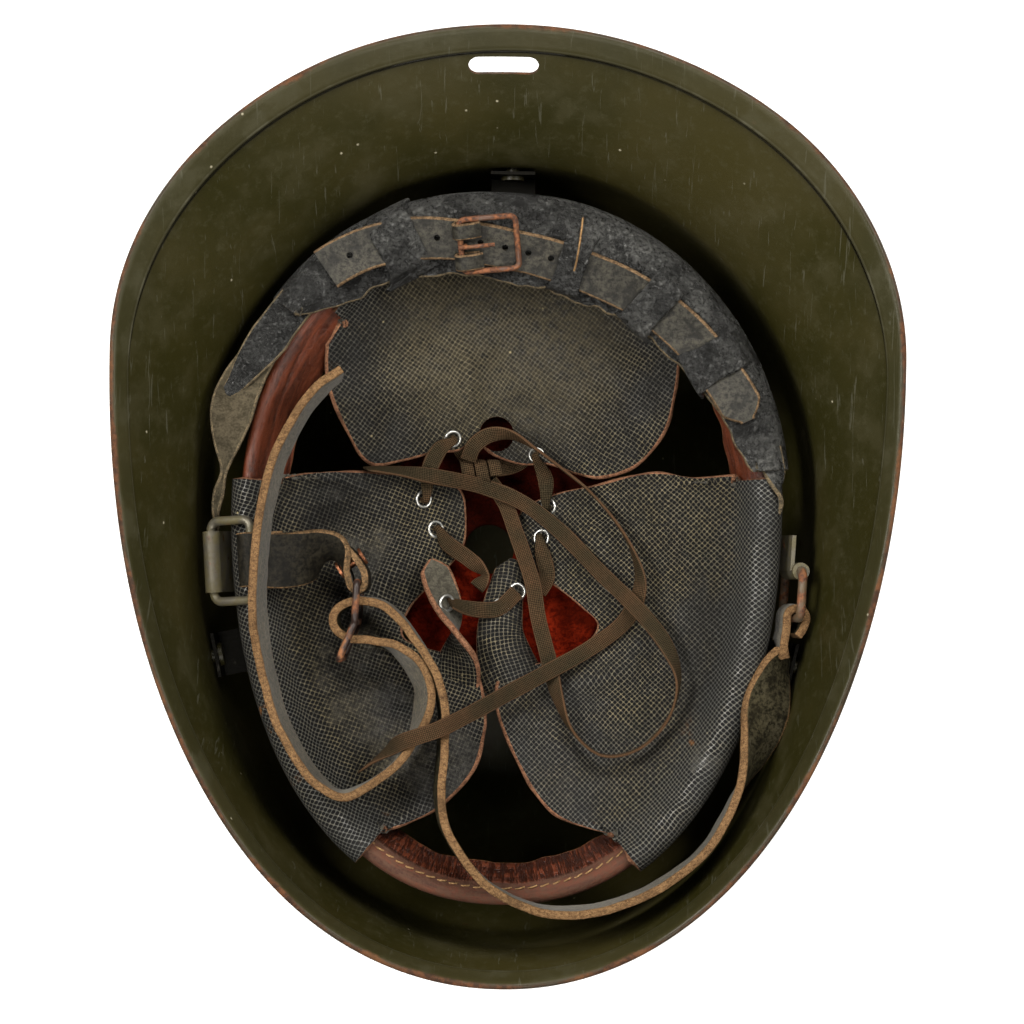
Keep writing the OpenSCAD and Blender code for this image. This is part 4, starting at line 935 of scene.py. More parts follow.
def shell_at(a, s):
    """Outer face of the shell: s from 0 to 1 is the dome, from 1 to 2 the flare."""
    a, s = np.broadcast_arrays(np.asarray(a, float), s)
    brow = hoop_at(a, GUTTER + SHEET)
    rim = egg(a, RIM_HALF, RIM_LONG - RIM_MID, RIM_LONG + RIM_MID, RIM_MID, RIM_FULL)
    low = np.minimum(s, 1.0)
    up = np.maximum(s - 1.0, 0.0)
    t = np.sin(QUARTER * low) ** (2 / DOME_FULL)
    dome = np.array([0.0, POLE_Y]) + (brow - [0.0, POLE_Y]) * t[..., None]
    z = BROW_Z * (1 - (np.cos(QUARTER * low) / np.cos(QUARTER * CROWN_FLAT)) ** (2 / DOME_FULL))
    xy = np.where((s <= 1)[..., None], dome, brow + (rim - brow) * (up ** 1.5)[..., None])
    z = np.where(s <= 1, z, BROW_Z + (rim_height(a) - BROW_Z) * up)
    return np.concatenate([xy, z[..., None]], -1)


print("hoop at rear", hoop_at(np.array(90.0)), "rim at left", shell_at(np.array(180.0), np.array(2.0)))

# %% [markdown]
# ## Bands, wires and round pieces
# Straps, laces and tongues are bands: a path with a roll and a heading at each place. Wires are tubes
# round a path. Eyelets are profiles turned round an axis. A hole is cut with a boolean, whose result
# becomes the mesh, so nothing is left live.

# %% Makers for bands, wires and turned pieces
def band_mid(path, width, columns=9, arch=0.0):
    """Middle surface of a band with columns x, y, z and the pattern's two numbers. Arch lowers the sides
    by the square of their distance from the middle line."""
    p = path[:, :3]
    wide, thick = band_frame(p, path[:, 3], path[:, 4])
    c = np.linspace(-1, 1, columns)
    width = np.broadcast_to(np.asarray(width, float), len(p))
    arch = np.broadcast_to(np.asarray(arch, float), len(p))
    grid = p[:, None] + wide[:, None] * (width[:, None] / 2 * c)[..., None] \
        - thick[:, None] * (arch[:, None] * c ** 2)[..., None]
    uv = pattern(lengths(p)[:, None], width[:, None] / 2 * c)
    return np.concatenate([grid, uv], -1)


def oval_band(name, path, width, thick, finish_of, points=16):
    """A soft flat band with an oval section, as a lace has."""
    p = path[:, :3]
    wide, up = band_frame(p, path[:, 3], path[:, 4])
    q = 2 * np.pi * (np.arange(points) + 0.5) / points
    c, s = power(np.cos(q), 0.85), power(np.sin(q), 0.6)
    w = np.broadcast_to(np.asarray(width, float), len(p))[:, None] / 2 * c
    t = np.broadcast_to(np.asarray(thick, float), len(p))[:, None] / 2 * s
    rings = p[:, None] + wide[:, None] * w[..., None] + up[:, None] * t[..., None]
    uv = pattern(lengths(p)[:, None], w)
    return ring_mesh(name, rings, uv, finishes=(finish_of,), sharp=75.0)


def tube(name, path, radius, finish_of, sides=12, up=(0, 0, 1), closed=False):
    """A round wire along a path."""
    p = np.asarray(path, float)
    t = unit(np.roll(p, -1, 0) - np.roll(p, 1, 0)) if closed else unit(np.gradient(p, axis=0))
    side = unit(np.cross(t, np.broadcast_to(np.asarray(up, float), p.shape)))
    other = np.cross(side, t)
    q = 2 * np.pi * (np.arange(sides) + 0.5) / sides
    r = np.broadcast_to(np.asarray(radius, float), len(p))[:, None, None]
    rings = p[:, None] + r * (side[:, None] * np.cos(q)[:, None] + other[:, None] * np.sin(q)[:, None])
    run = lengths(p)
    uv = pattern(run[:, None], 2 * q)
    if closed:
        uv = np.concatenate([uv, uv[:1] + [run[-1] + np.linalg.norm(p[0] - p[-1]), 0]])
    return ring_mesh(name, rings, uv, finishes=(finish_of,), closed=closed, sharp=60.0)


def turned(name, places, axes, profile, finish_of, sides=36):
    """Copies of a profile [radius, height] turned round an axis through each place."""
    verts, quads, count = [], [], 0
    pr = np.asarray(profile, float)
    q = 2 * np.pi * np.arange(sides) / sides
    ii, jj = ring_faces(sides, len(pr), closed=True)
    for place, axis in zip(places, axes):
        z = unit(np.asarray(axis, float))
        x = unit(np.cross(z, [0.31, 0.9, 0.1]))
        y = np.cross(z, x)
        spoke = np.cos(q)[:, None, None] * x + np.sin(q)[:, None, None] * y
        v = np.asarray(place, float) + pr[None, :, :1] * spoke + pr[None, :, 1:] * z
        verts.append(v.reshape(-1, 3))
        quads.append((ii % sides) * len(pr) + jj % len(pr) + count)
        count += sides * len(pr)
    return put_mesh(name, np.concatenate(verts), np.concatenate(quads), finishes=(finish_of,), sharp=40.0)


def apply_modifiers(obj):
    """What the modifiers make of the mesh becomes the mesh, so nothing is left live."""
    bpy.context.view_layer.update()
    new = bpy.data.meshes.new_from_object(obj.evaluated_get(bpy.context.evaluated_depsgraph_get()))
    old, name = obj.data, obj.data.name
    obj.modifiers.clear()
    obj.data = new
    bpy.data.meshes.remove(old)
    new.name = name


def cut(obj, cutter):
    """Takes one mesh away from another."""
    tool = obj.modifiers.new("cut", "BOOLEAN")
    tool.object, tool.operation, tool.solver = cutter, "DIFFERENCE", "EXACT"
    apply_modifiers(obj)
    bpy.data.objects.remove(cutter)
    print(obj.name, "cut,", len(obj.data.polygons), "faces")


def plug(name, outline, place, x, y, half, finish_of):
    """A cutter: a closed outline in the plane of x and y, pushed out to both sides."""
    o = np.asarray(outline, float)
    z = np.cross(x, y)
    flat = np.asarray(place) + o[:, :1] * x + o[:, 1:] * y
    mesh = bpy.data.meshes.new(name)
    n = len(o)
    verts = np.concatenate([flat - half * z, flat + half * z]) * MM
    faces = [tuple(range(n))[::-1], tuple(range(n, 2 * n))]
    faces += [(k, (k + 1) % n, n + (k + 1) % n, n + k) for k in range(n)]
    mesh.from_pydata(verts.tolist(), [], faces)
    mesh.materials.append(finish_of)
    return add_object(name, mesh)


def circle(radius, sides=28):
    """A closed circle of straight sides."""
    q = 2 * np.pi * np.arange(sides) / sides
    return radius * np.stack([np.cos(q), np.sin(q)], -1)


def round_rect(w, l, corner, corner_points=9, side_points=8):
    """A closed rectangle from x = 0 to w with y in the middle, its corners quarter circles."""
    q = np.radians(np.linspace(0, 90, corner_points))
    near, far, up, down = corner, w - corner, l / 2 - corner, corner - l / 2
    mids = [(far, up), (near, up), (near, down), (far, down)]
    corners = [np.stack([x + corner * np.cos(q + k * QUARTER), y + corner * np.sin(q + k * QUARTER)], -1)
               for k, (x, y) in enumerate(mids)]
    t = np.linspace(0, 1, side_points + 2)[1:-1, None]
    sides = [a[-1] + (b[0] - a[-1]) * t for a, b in zip(corners, corners[1:] + corners[:1])]
    return np.concatenate([p for pair in zip(corners, sides) for p in pair])


def place_on(origin, x, y, points):
    """Flat points placed on a plane in space."""
    return np.asarray(origin) + points[:, :1] * np.asarray(x) + points[:, 1:2] * np.asarray(y)


def stands_for(obj, node_name, body="frame", ride=True):
    """The piece takes the place of its CAD node and, unless ride is False, moves with a body."""
    if ride:
        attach(obj, body)
    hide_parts(node_name)
    return obj


print("makers ready")

# %% [markdown]
# ## The two free ends of the lace
# A lace is limp and flat. Each end leaves the knot behind the tongues, wanders over the pads, stands on
# its edge where it turns, and ends in a bare tip. The routes are the CAD model's own stations: place in
# millimetres, roll and heading.

# %% Free ends of the lace
LACE_W, LACE_T = 5.2, 1.1
lace_a = [(-6, 10, 5.4, 0, -40), (-1, 3, 5.6, 0, -65), (2.5, -6, 5.8, 0, -70), (5.5, -14, 7.4, 0, -75),
          (8.5, -23, 8.6, 0, -80), (10.5, -34, 7.4, 0, -75), (13.5, -45, 5, 0, -65), (17, -58, 5.4, 45, -65),
          (22, -69, 5, 85, -45), (31, -76, 4.6, 90, -10), (42, -74, 4.4, 90, 30), (51, -65, 4.4, 90, 60),
          (54.5, -53, 4.6, 75, 90), (51, -42, 5, 30, 120), (42.5, -31, 6, 0, 135), (30, -19, 4.4, 0, 135),
          (17, -6, 4.6, 0, 140), (5, 3, 5.4, 0, 155), (-8, 8, 6.4, 0, 165), (-22, 10.5, 7.4, 12, 170),
          (-34, 12, 5, 55, 175), (-45, 12.5, 4, 78, 180)]
lace_b = [(-13, 16.5, 3.8, 0, 80), (-11, 21, 5.6, 0, 60), (-6, 24.5, 5.6, 20, 15), (1, 24.5, 6.4, 60, -15),
          (9, 20, 8, 90, -35), (18, 13.5, 5.2, 90, -35), (26, 7, 4, 90, -40), (34, -2, 3.8, 90, -55),
          (40, -12, 3.6, 80, -65), (42.5, -23, 2.6, 40, -95), (38, -34, 2.4, 0, -140), (27, -43, 4, 0, -150),
          (14, -50.5, 8.6, 0, -150), (2, -57, 14.5, 0, -150), (-9, -63, 22.5, 0, -150),
          (-19, -68, 27.5, 0, -150), (-26, -70.5, 26.5, 0, -152), (-31, -72.5, 22, 15, -150),
          (-35.5, -75.5, 14, 60, -145), (-40, -79, 8, 85, -142), (-44.5, -82.5, 5.6, 90, -140)]


def over(stations):
    """Stations drawn with a lift over the bowl become places."""
    st = np.array(stations, float)
    st[:, 2] += bowl(st[:, 0], st[:, 1])
    return st


def free_lace(name, stands_in, stations):
    """A free end: a band that is narrower and thinner at its tip. Its middle line gives its length."""
    path = evenly(smooth(over(stations), 10), 0.9)
    run = lengths(path)
    near_tip = np.clip((run[-1] - run) / 3.0, 0.0, 1.0)
    width = LACE_W * (1 + 0.03 * waves(run, 0 * run, 14.0, 3)) * (0.82 + 0.18 * near_tip)
    thick = LACE_T * (0.55 + 0.45 * near_tip)
    obj = oval_band(name, path, width, thick, LACE)
    stands_for(obj, stands_in)
    print(name, "is", round(run[-1]), "mm long")


free_lace("free_lace_a", "lace_end_a", lace_a)
free_lace("free_lace_b", "lace_end_b", lace_b)

# %% [markdown]
# ## Shell
# One steel sheet is pressed to a dome, drawn outwards to a flare, and its edge is folded back to a hem.
# The profile from the crown up the outside, round the rim, over the hem's fold and back down the inside
# is carried round the egg outline. The narrow dip beside the fold, with painted shade in it, is the dark
# line seen along the hem.

# %% Shell
def shell_skin(a, s, deep):
    """A place so deep inside the outer face: the face plus deep times its inward normal."""
    a, s, deep = np.broadcast_arrays(np.asarray(a, float), s, deep)
    p = shell_at(a, s)
    p[..., 2] = np.maximum(p[..., 2], 0.0)
    sc = np.maximum(s, 0.07)
    n = unit(np.cross(shell_at(a, np.minimum(sc + 0.004, 2)) - shell_at(a, sc - 0.004),
                      shell_at(a + 0.5, sc) - shell_at(a - 0.5, sc)))
    n = np.where((s < CROWN_FLAT + 1e-4)[..., None], UP, n)
    return p + deep[..., None] * n


outer_s = np.concatenate([[0, 0.03, 0.05, CROWN_FLAT], np.linspace(0.075, 1, 44), np.linspace(1.03, 1.86, 26)])
fold = [(1.90, 0), (1.94, 0), (1.97, 0), (1.988, 0.12), (1.998, 0.55), (2, 1.25), (1.998, 1.95), (1.988, 2.38),
        (1.972, 2.5), (1.94, 2.5), (1.91, 2.6), (1.889, 2.65), (1.879, 2.4), (1.8735, 1.8), (1.871, 1.15),
        (1.866, 0.75), (1.858, 0.75), (1.850, 1.1), (1.842, 1.2)]
profile = np.array([(s, 0.0) for s in outer_s] + fold + [(s, SHEET) for s in outer_s[::-1]])
rim_row = len(outer_s) + 5
turn = np.arange(0, 360, 0.75)
below = 2 - profile[None, :, 0]
wider = 1.6 * np.clip(-np.sin(np.radians(turn)), 0, 1)[:, None] * np.clip(1 - below, 0, 1) ** 2
skin = shell_skin(turn[:, None], 2 - below * (1 + wider), profile[None, :, 1])
wobble = 0.22 * waves(skin[..., 0], skin[..., 1], 90.0, 11) * np.clip(skin[..., 2] / 60, 0, 1)
skin = skin + unit(skin * [1, 1, 0]) * wobble[..., None]
run = lengths_across(skin)
from_rim = np.abs(run - run[:, rim_row:rim_row + 1])
along = np.where(np.arange(len(profile)) <= rim_row, profile[:, 0], 4 - profile[:, 0])
round_uv = np.stack([along[None] / MM + 0 * from_rim, from_rim], -1)
round_uv = np.concatenate([round_uv, round_uv[:1]])
shell = ring_mesh("shell_steel", skin, round_uv, finishes=(PAINT,), closed=True, sharp=50.0)

slot_l, slot_h, slot_in, slot_left = 21.5, 6.0, 13.0, 3.0
x_way = np.array([1.0, 0, 0])
slot_s = 2 - slot_in / np.linalg.norm(shell_at(90.0, 2.0) - shell_at(90.0, 1.5)) / 2
slot_at = shell_skin(90.0, slot_s, SHEET / 2) - slot_left * x_way
slot_n = unit(shell_skin(90.0, 1.7, 1.0) - shell_skin(90.0, 1.7, 0.0))
bend = np.radians(np.linspace(-90, 90, 13))
half_round = np.stack([(slot_l - slot_h) / 2 + slot_h / 2 * np.cos(bend), slot_h / 2 * np.sin(bend)], -1)
stadium = np.concatenate([half_round, -half_round])
cut(shell, plug("slot_cutter", stadium, slot_at, x_way, np.cross(slot_n, x_way), 5.0, PAINT))
shell.data.set_sharp_from_angle(angle=np.radians(50))
stands_for(shell, "shell")

# %% [markdown]
# ## Brow leather
# A band of red-brown leather is folded over the hoop and sewn along its top. Its inner edge is free, so
# it dries into wrinkles there, which are waves that grow towards the edge. At the rear left, where
# nothing holds it, the free part lies flatter and a little further inwards.

# %% Brow leather
brow_line = np.array([[-1.7, -7], [-1.7, -3.5], [-1.7, -1], [-1.15, 0.9], [0.5, 1.7], [2.5, 1.1], [5.5, -1.9],
                      [8.5, -6.4], [11, -11]])
BROW_T = 1.5
MEAN_R = 95.0
line = evenly(np.concatenate([smooth(brow_line, 6), np.zeros((49, 1))], 1), 0.55)[:, :2]
line_dir = unit(np.gradient(line, axis=0))
line = line - BROW_T / 2 * np.stack([-line_dir[:, 1], line_dir[:, 0]], -1)
ang = np.arange(0, 360, 0.6)
free = np.clip((line[:, 0] + 0.5) / 11, 0, 1) ** 1.6
along_hoop = MEAN_R * np.radians(ang)[:, None]
swing = waves(along_hoop, line[None, :, 0], 9.0, 21, 12)
folds = waves(along_hoop, line[None, :, 0] * 0.5, 16.0, 22, 9)
lift = 0.60 * free * swing + 0.65 * free * folds
open_side = (np.clip((ang - 120) / 14, 0, 1) * np.clip((190 - ang) / 10, 0, 1))[:, None]
beyond = np.maximum(line[None, :, 0] - 4.0, 0.0)
lift = lift * (1 - 0.6 * open_side)
brow = beside(ang[:, None], line[None, :, 0] + 0.4 * free * folds + 0.30 * open_side * beyond,
              RING + line[None, :, 1] + lift + 0.25 * open_side * beyond)
brow = np.concatenate([brow, pattern(along_hoop, lengths(line))], -1)
brow_piece = sheet_mesh("brow_band", brow, BROW_T, len(line), (BROW, BROW_EDGE, BROW_EDGE),
                        wrap=2 * np.pi * MEAN_R)
stands_for(brow_piece, "brow_leather")


def stitches(name, angles, inward, long, node_name):
    """Short threads along the brow leather: each is a round bow that rises from the leather and goes
    back in. All have the same number of points, so one array holds them."""
    t = np.linspace(-1, 1, 9)
    turn_by = np.degrees(t[None] * long / 2 / MEAN_R)
    z = RING + 0.15 + 0.55 * (1 - np.abs(t) ** 2.5)[None]
    p = beside(angles[:, None] + turn_by, inward + 0.25 * t[None], z + 0 * turn_by)
    along = unit(np.gradient(p, axis=1))
    side = unit(np.cross(along, UP))
    q = (2 * np.pi * np.arange(8) / 8)[:, None]
    other = np.cross(side, along)
    rings = p[:, :, None] + 0.28 * (side[:, :, None] * np.cos(q) + other[:, :, None] * np.sin(q))
    ii, jj = ring_faces(len(t), 8)
    quads = (np.arange(len(angles))[:, None, None] * len(t) * 8 + (ii * 8 + jj % 8)[None]).reshape(-1, 4)
    obj = put_mesh(name, rings.reshape(-1, 3), quads, finishes=(THREAD,), sharp=60.0)
    return stands_for(obj, node_name)


stitches("brow_stitches", np.arange(238.0, 304.0, 2.55), 3.5, 3.0, "brow_leather")

# %% [markdown]
# ## Pads
# Each pad is a grained hide that starts under the hoop's outer face, rolls over the hoop and hangs into
# the bowl as two lobes. The shape is one grid: along the cut edge, and from the roll to the edge. Flat
# cushions press broad pockets into it, the free lobes curl, and the hide has soft folds. Inside the
# bowl the grain reads the place in plan, and over the roll it reads the true length of the hide, so
# that its squares keep their size there. An edge is drawn as rows of x, y, the place round the hoop in
# degrees from which the hide comes, and how far it lifts off the bowl.

# %% Pads
POCKET = 0.62
roll_top = [(-5, -13), (-5.1, -5), (-4.3, 1.2), (-1.7, 4.2), (1.8, 4.6), (5.5, 2.1)]
tuck_top = [(5.5, 1.9), (7, 0.6)]
left_edge = [(-35, -100, 241, 0), (-28, -98, 238, 0), (-19, -93, 235, 1), (-9, -82, 231, 2), (-5.5, -70, 226, 3),
             (-5.5, -62, 221, 3), (-8, -52, 215, 2), (-14, -46, 210, 1), (-24, -44, 204, 0), (-32, -40, 200, 0),
             (-30, -31, 196.5, 0), (-21, -21, 193, 0), (-14, -12, 189.5, 1), (-13, -2, 186.5, 1),
             (-15, 7, 184, 1), (-24, 10, 182, 1), (-45, 11.5, 179.5, 1), (-60, 11, 178, 0), (-71, 8.5, 176.5, 0)]
right_edge = [(70.5, 12.5, 5.5, 0), (58.5, 11.5, 3.4, 0), (44.5, 13, 0.8, 0), (29, 9.4, -1.6, 0),
              (14, 6, -4, 1), (4, 1, -6.5, 1), (2, -9, -9.5, 1), (7, -17, -13, 0), (15, -23, -16, 0),
              (24, -30, -19.5, 0), (29, -36, -23, 0),
              (22, -44, -28, 0), (10, -48, -33, 1), (-1, -51, -38, 2), (-2.5, -62, -43, 3), (3, -76, -48, 2),
              (10, -88, -52.5, 1), (17, -95, -56, 0), (28, -99, -59, 0), (35, -100, -62, 0)]
rear_edge = [(-57, 50, 136.5, 0), (-56.5, 38, 134, 0), (-51, 24, 130, 0), (-44, 14, 126, 0), (-34, 15, 121, 1),
             (-24, 18, 116, 2), (-16, 19, 111, 3), (-10, 23, 106, 4), (-5, 18, 101, 2), (4, 15, 94, 1),
             (13, 15, 86, 1), (22, 12, 79, 1), (30, 11, 72, 0), (41, 15, 64, 0), (49, 25, 57, 0),
             (52, 37, 52, 0), (53, 48, 49.5, 0)]
PAD_T, SAG = 2.1, 6.0
ROLL_END = 9.0


def rows_to_edge(st, u, s):
    """Rows of a hide from the end of its roll to its cut edge, straight in plan, at the shares s of the
    way. Height: bowl - SAG sin(pi s / POCKET) sin(pi u) + lift s^2, where u runs along the edge."""
    q = beside(st[:, 2], ROLL_END, 0.0)[:, :2]
    plan = q[:, None] + (st[:, None, :2] - q[:, None]) * s[None, :, None]
    sink = SAG * np.sin(np.pi * np.minimum(s / POCKET, 1))[None] * np.sin(np.pi * u)[:, None]
    return plan, bowl(plan[..., 0], plan[..., 1]) - sink + st[:, 3:4] * s[None] ** 2


def pad_grid(edge, start, seed, gap=0.9):
    """Upper face of a pad: each row has the roll's profile beside the hoop, and then the way to the edge."""
    st = smooth(np.array(edge, float), 8)
    st = np.concatenate([st, np.linspace(0, 1, len(st))[:, None]], 1)
    run = lengths(st[:, :2] @ np.eye(2, 3))
    at = np.linspace(0, run[-1], int(run[-1] / gap) + 1)
    st = np.stack([np.interp(at, run, st[:, k]) for k in range(5)], -1)
    a, inward = st[:, 2], np.array(start)
    first = beside(a[:, None], inward[None, :, 0], RING + inward[None, :, 1])
    plan, z = rows_to_edge(st, st[:, 4], np.linspace(0, 1, 15))
    grid = smooth(np.concatenate([first, np.concatenate([plan, z[..., None]], -1)], 1), 4, axis=1)
    reach = np.clip(lengths_across(grid) / 40.0, 0, 1)
    x, y = grid[..., 0], grid[..., 1]
    soft = 0.40 * waves(x, y, 26.0, seed) + 0.16 * waves(x, y, 9.0, seed + 1)
    curl = 0.55 * waves(x, y, 17.0, seed + 2) * reach ** 2
    grid[..., 2] += soft * np.clip(reach * 3, 0, 1) + curl
    return grid, a


def shift_off(grid, depth):
    """A grid moved by depth against its upward normal."""
    n = unit(np.cross(np.gradient(grid, axis=0), np.gradient(grid, axis=1)))
    n = n * np.where(n[..., 2:3].mean() > 0, 1.0, -1.0)
    return grid - depth * n


def pattern_of(grid, a, first, turn_by):
    """Pattern place: inside the bowl the plan place itself, and over the roll the place where the roll
    starts plus the true length outwards; turned by an angle so that every pad has its own lie."""
    run = lengths_across(grid)
    over_roll = np.maximum(run[:, first:first + 1] - run, 0.0)
    p = grid[:, np.maximum(np.arange(grid.shape[1]), first), :2] + hoop_out(a)[:, None] * over_roll[..., None]
    c, s = np.cos(turn_by), np.sin(turn_by)
    return np.stack([p[..., 0] * c - p[..., 1] * s, p[..., 0] * s + p[..., 1] * c], -1)


def pad(name, edge, start, seed, turn_by):
    """A pad: its upper face moved down by half its thickness is the middle of the hide."""
    top, a = pad_grid(edge, start, seed)
    mid = shift_off(top, PAD_T / 2)
    mid = np.concatenate([mid, pattern_of(mid, a, 4 * len(start), turn_by)], -1)
    return grain_up(sheet_mesh(name, mid, PAD_T, 84, (PAD, PAD_EDGE, PAD_FLESH), round_start=False))


def read(block, key, width=1, kind=float):
    """One property of all vertices or faces as an array, a row each."""
    values = np.zeros(len(block) * width, kind)
    block.foreach_get(key, values)
    return values.reshape(-1, width) if width > 1 else values


def grain_up(obj):
    """Swaps the grain side and the flesh side of a sheet whose grain side looks down."""
    faces = obj.data.polygons
    k = read(faces, "material_index", 1, int)
    if read(faces, "normal", 3)[k == 0, 2].mean() < 0:
        faces.foreach_set("material_index", np.where(k == 1, 1, 2 - k))
    return obj


left_pad = pad("left_pad", left_edge, roll_top, 31, 0.35)
right_pad = pad("right_pad", right_edge, roll_top, 41, 0.75)
rear_pad = pad("rear_pad", rear_edge, tuck_top, 51, 0.6)
hole = over([(-4, 25, 0.5, 0, 0)])[0, :3]
cut(rear_pad, plug("hole_cutter", circle(5.5), hole, x_way, np.array([0, 1.0, 0]), 12.0, PAD_EDGE))
for piece, node_name in ((left_pad, "pad_left"), (right_pad, "pad_right"), (rear_pad, "pad_rear")):
    stands_for(piece, node_name)

# %% [markdown]
# ## Tongues
# The left lobe ends in a tongue that has twisted over, so its flesh side shows at the tip. The right
# lobe's tongue has dried into a long arch. Both are bands whose width narrows towards the tip, and both
# start under the surface of their lobe, so that the hide seems to run into them.

# %% Tongues
left_tongue = [(-16, -60, -1.4, 0, 95, 14), (-15, -53, 2.6, -10, 97, 15), (-15, -46, 6.5, -40, 100, 15),
               (-16, -39, 9.5, -85, 105, 13.5), (-18, -32, 10.5, -125, 110, 12.5), (-21, -24, 10, -150, 112, 11.5),
               (-24, -16, 8, -160, 114, 9)]
right_tongue = [(6, -62, -1.4, 0, 95, 15), (3, -54, 3.4, 0, 95, 19), (0, -46, 5.2, 0, 93, 17.5),
                (-1.6, -38, 6.2, 0, 88, 14.5), (-1, -30, 6.8, 0, 84, 12.5), (0.6, -22, 6.6, 0, 78, 10.5),
                (2.0, -15.5, 5.2, 0, 78, 9)]


def tongue(name, stations, arch, node_name):
    """A tongue: a band with a width of its own at each station, round at the tip and arched across."""
    st = over(stations)
    st[:, 2] -= PAD_T / 2
    path = evenly(smooth(st, 10), 0.7)
    run = lengths(path)
    tip = np.sqrt(np.clip((run[-1] - run) / 3.6, 0.06, 1.0))
    mid = band_mid(path, path[:, 5] * tip, 15, arch * (path[:, 5] / 20))
    mid[..., 2] += 0.25 * waves(mid[..., 3], mid[..., 4], 8.0, len(name))
    obj = sheet_mesh(name, mid, PAD_T, 15, (PAD, PAD_EDGE, PAD_FLESH))
    return stands_for(obj, node_name)


tongue("left_tongue", left_tongue, 0.6, "pad_left")
tongue("right_tongue", right_tongue, 6.5, "pad_right")

# %% [markdown]
# ## Crown felt
# A dished disc of red felt lies deep under the tongues, with a round hole. It is a ring of spokes from
# the hole to the rim, and its surface follows the bowl a little lower.

# %% Crown felt
spoke_a = np.radians(np.arange(0, 360, 2.5))[:, None]
k = np.linspace(0, 1, 40)[None, :]
FELT_T, FELT_UNDER, FELT_DISH, HOLE_R = 3.0, 6.25, 8, 8
fx = (-6 + HOLE_R * np.cos(spoke_a)) * (1 - k) + (-2 + 38 * np.cos(spoke_a)) * k
fy = (-12 + HOLE_R * np.sin(spoke_a)) * (1 - k) + (-10 + 48 * np.sin(spoke_a)) * k
fz = bowl(fx, fy) - FELT_UNDER - FELT_DISH * share(fx, fy) ** 2 - FELT_T / 2 + 0.3 * waves(fx, fy, 22.0, 61)
felt_mid = np.stack([fx, fy, fz, fx, fy], -1)
felt_piece = sheet_mesh("crown_felt", felt_mid, FELT_T, 40, (FELT, FELT, FELT), wrap=1.0)
stands_for(felt_piece, "crown_pad")

# %% [markdown]
# ## Size band
# Soft blue-grey leather lies over the rear half of the hoop. It bulges outwards at the left, its inner
# edge is uneven, and it has crumpled. At the left it ends in two crumpled strips, one on the other, and
# at the right in a narrow tail that has curled over. Bridges of the same leather hold the strap down.
# A row of size_band has the place round the hoop in degrees, the bulge, and how far inward it reaches.

# %% Size band
BAND_T, BAND_SLOPE = 1.7, 0.4
band_line = np.array([(-7.4, -12), (-7.4, -4), (-6.2, 1.5), (-3.6, 5.4), (0, 7.1), (3, 7.2)])
size_band = np.array([(142, 5.4, 4), (137, 5.4, 8.5), (130, 5.2, 14), (122, 4.6, 16), (114, 3.5, 17.5),
                      (106, 2.2, 19), (98, 1, 20.5), (90, 0, 21.5), (76, 0, 22.5), (62, 0, 22), (50, 0, 20.5),
                      (38, 0, 17), (27, 0, 14), (17, 0, 10.5), (11, 0, 7.5), (7, 0, 4.5)])
end_tails = {
    "band_tail_left": [
        (-66, 64, 2.4, 0, 230, 12), (-71, 57, 4.4, 0, 234, 12), (-75, 51, 5.6, 2, 236, 12.5),
        (-79.4, 45, 6.0, 6, 236, 10.5), (-84, 38.4, 5.6, 8, 236, 7), (-88, 34, 4.6, 8, 232, 3.6),
        (-90.4, 31.4, 3.8, 8, 232, 0.8)],
    "band_tail_left_back": [
        (-76, 49, 3.0, 180, 238, 10), (-81, 41, 4.2, 184, 242, 12.5), (-84.2, 34, 4.8, 186, 252, 14),
        (-85.8, 27.5, 4.6, 184, 264, 13.5), (-87, 18.5, 4.0, 180, 268, 8.4), (-87.8, 10.5, 3.0, 180, 266, 2.4),
        (-89.4, 3.8, 1.4, 185, 262, 3.6), (-90.4, -2, 0, 180, 268, 2.6), (-89.8, -10, -2.5, 180, 274, 0.8)],
    "band_tail_right": [
        (80.6, 20, 3.2, 0, 277, 9), (82.4, 15, 3.4, -5, 274, 7.5), (83.8, 10, 3.4, -50, 268, 7),
        (84.4, 5.5, 2.4, -110, 260, 6.5), (83.4, 1.2, 0.8, -140, 248, 5), (81.2, -2.6, -1.4, -150, 240, 2)]}


def band_height(n):
    """The band's height at a distance inward: its line over the hoop, and then a slope down into the bowl."""
    return np.where(n > 3, 7.2 - BAND_SLOPE * (n - 3), np.interp(n, band_line[:, 0], band_line[:, 1]))


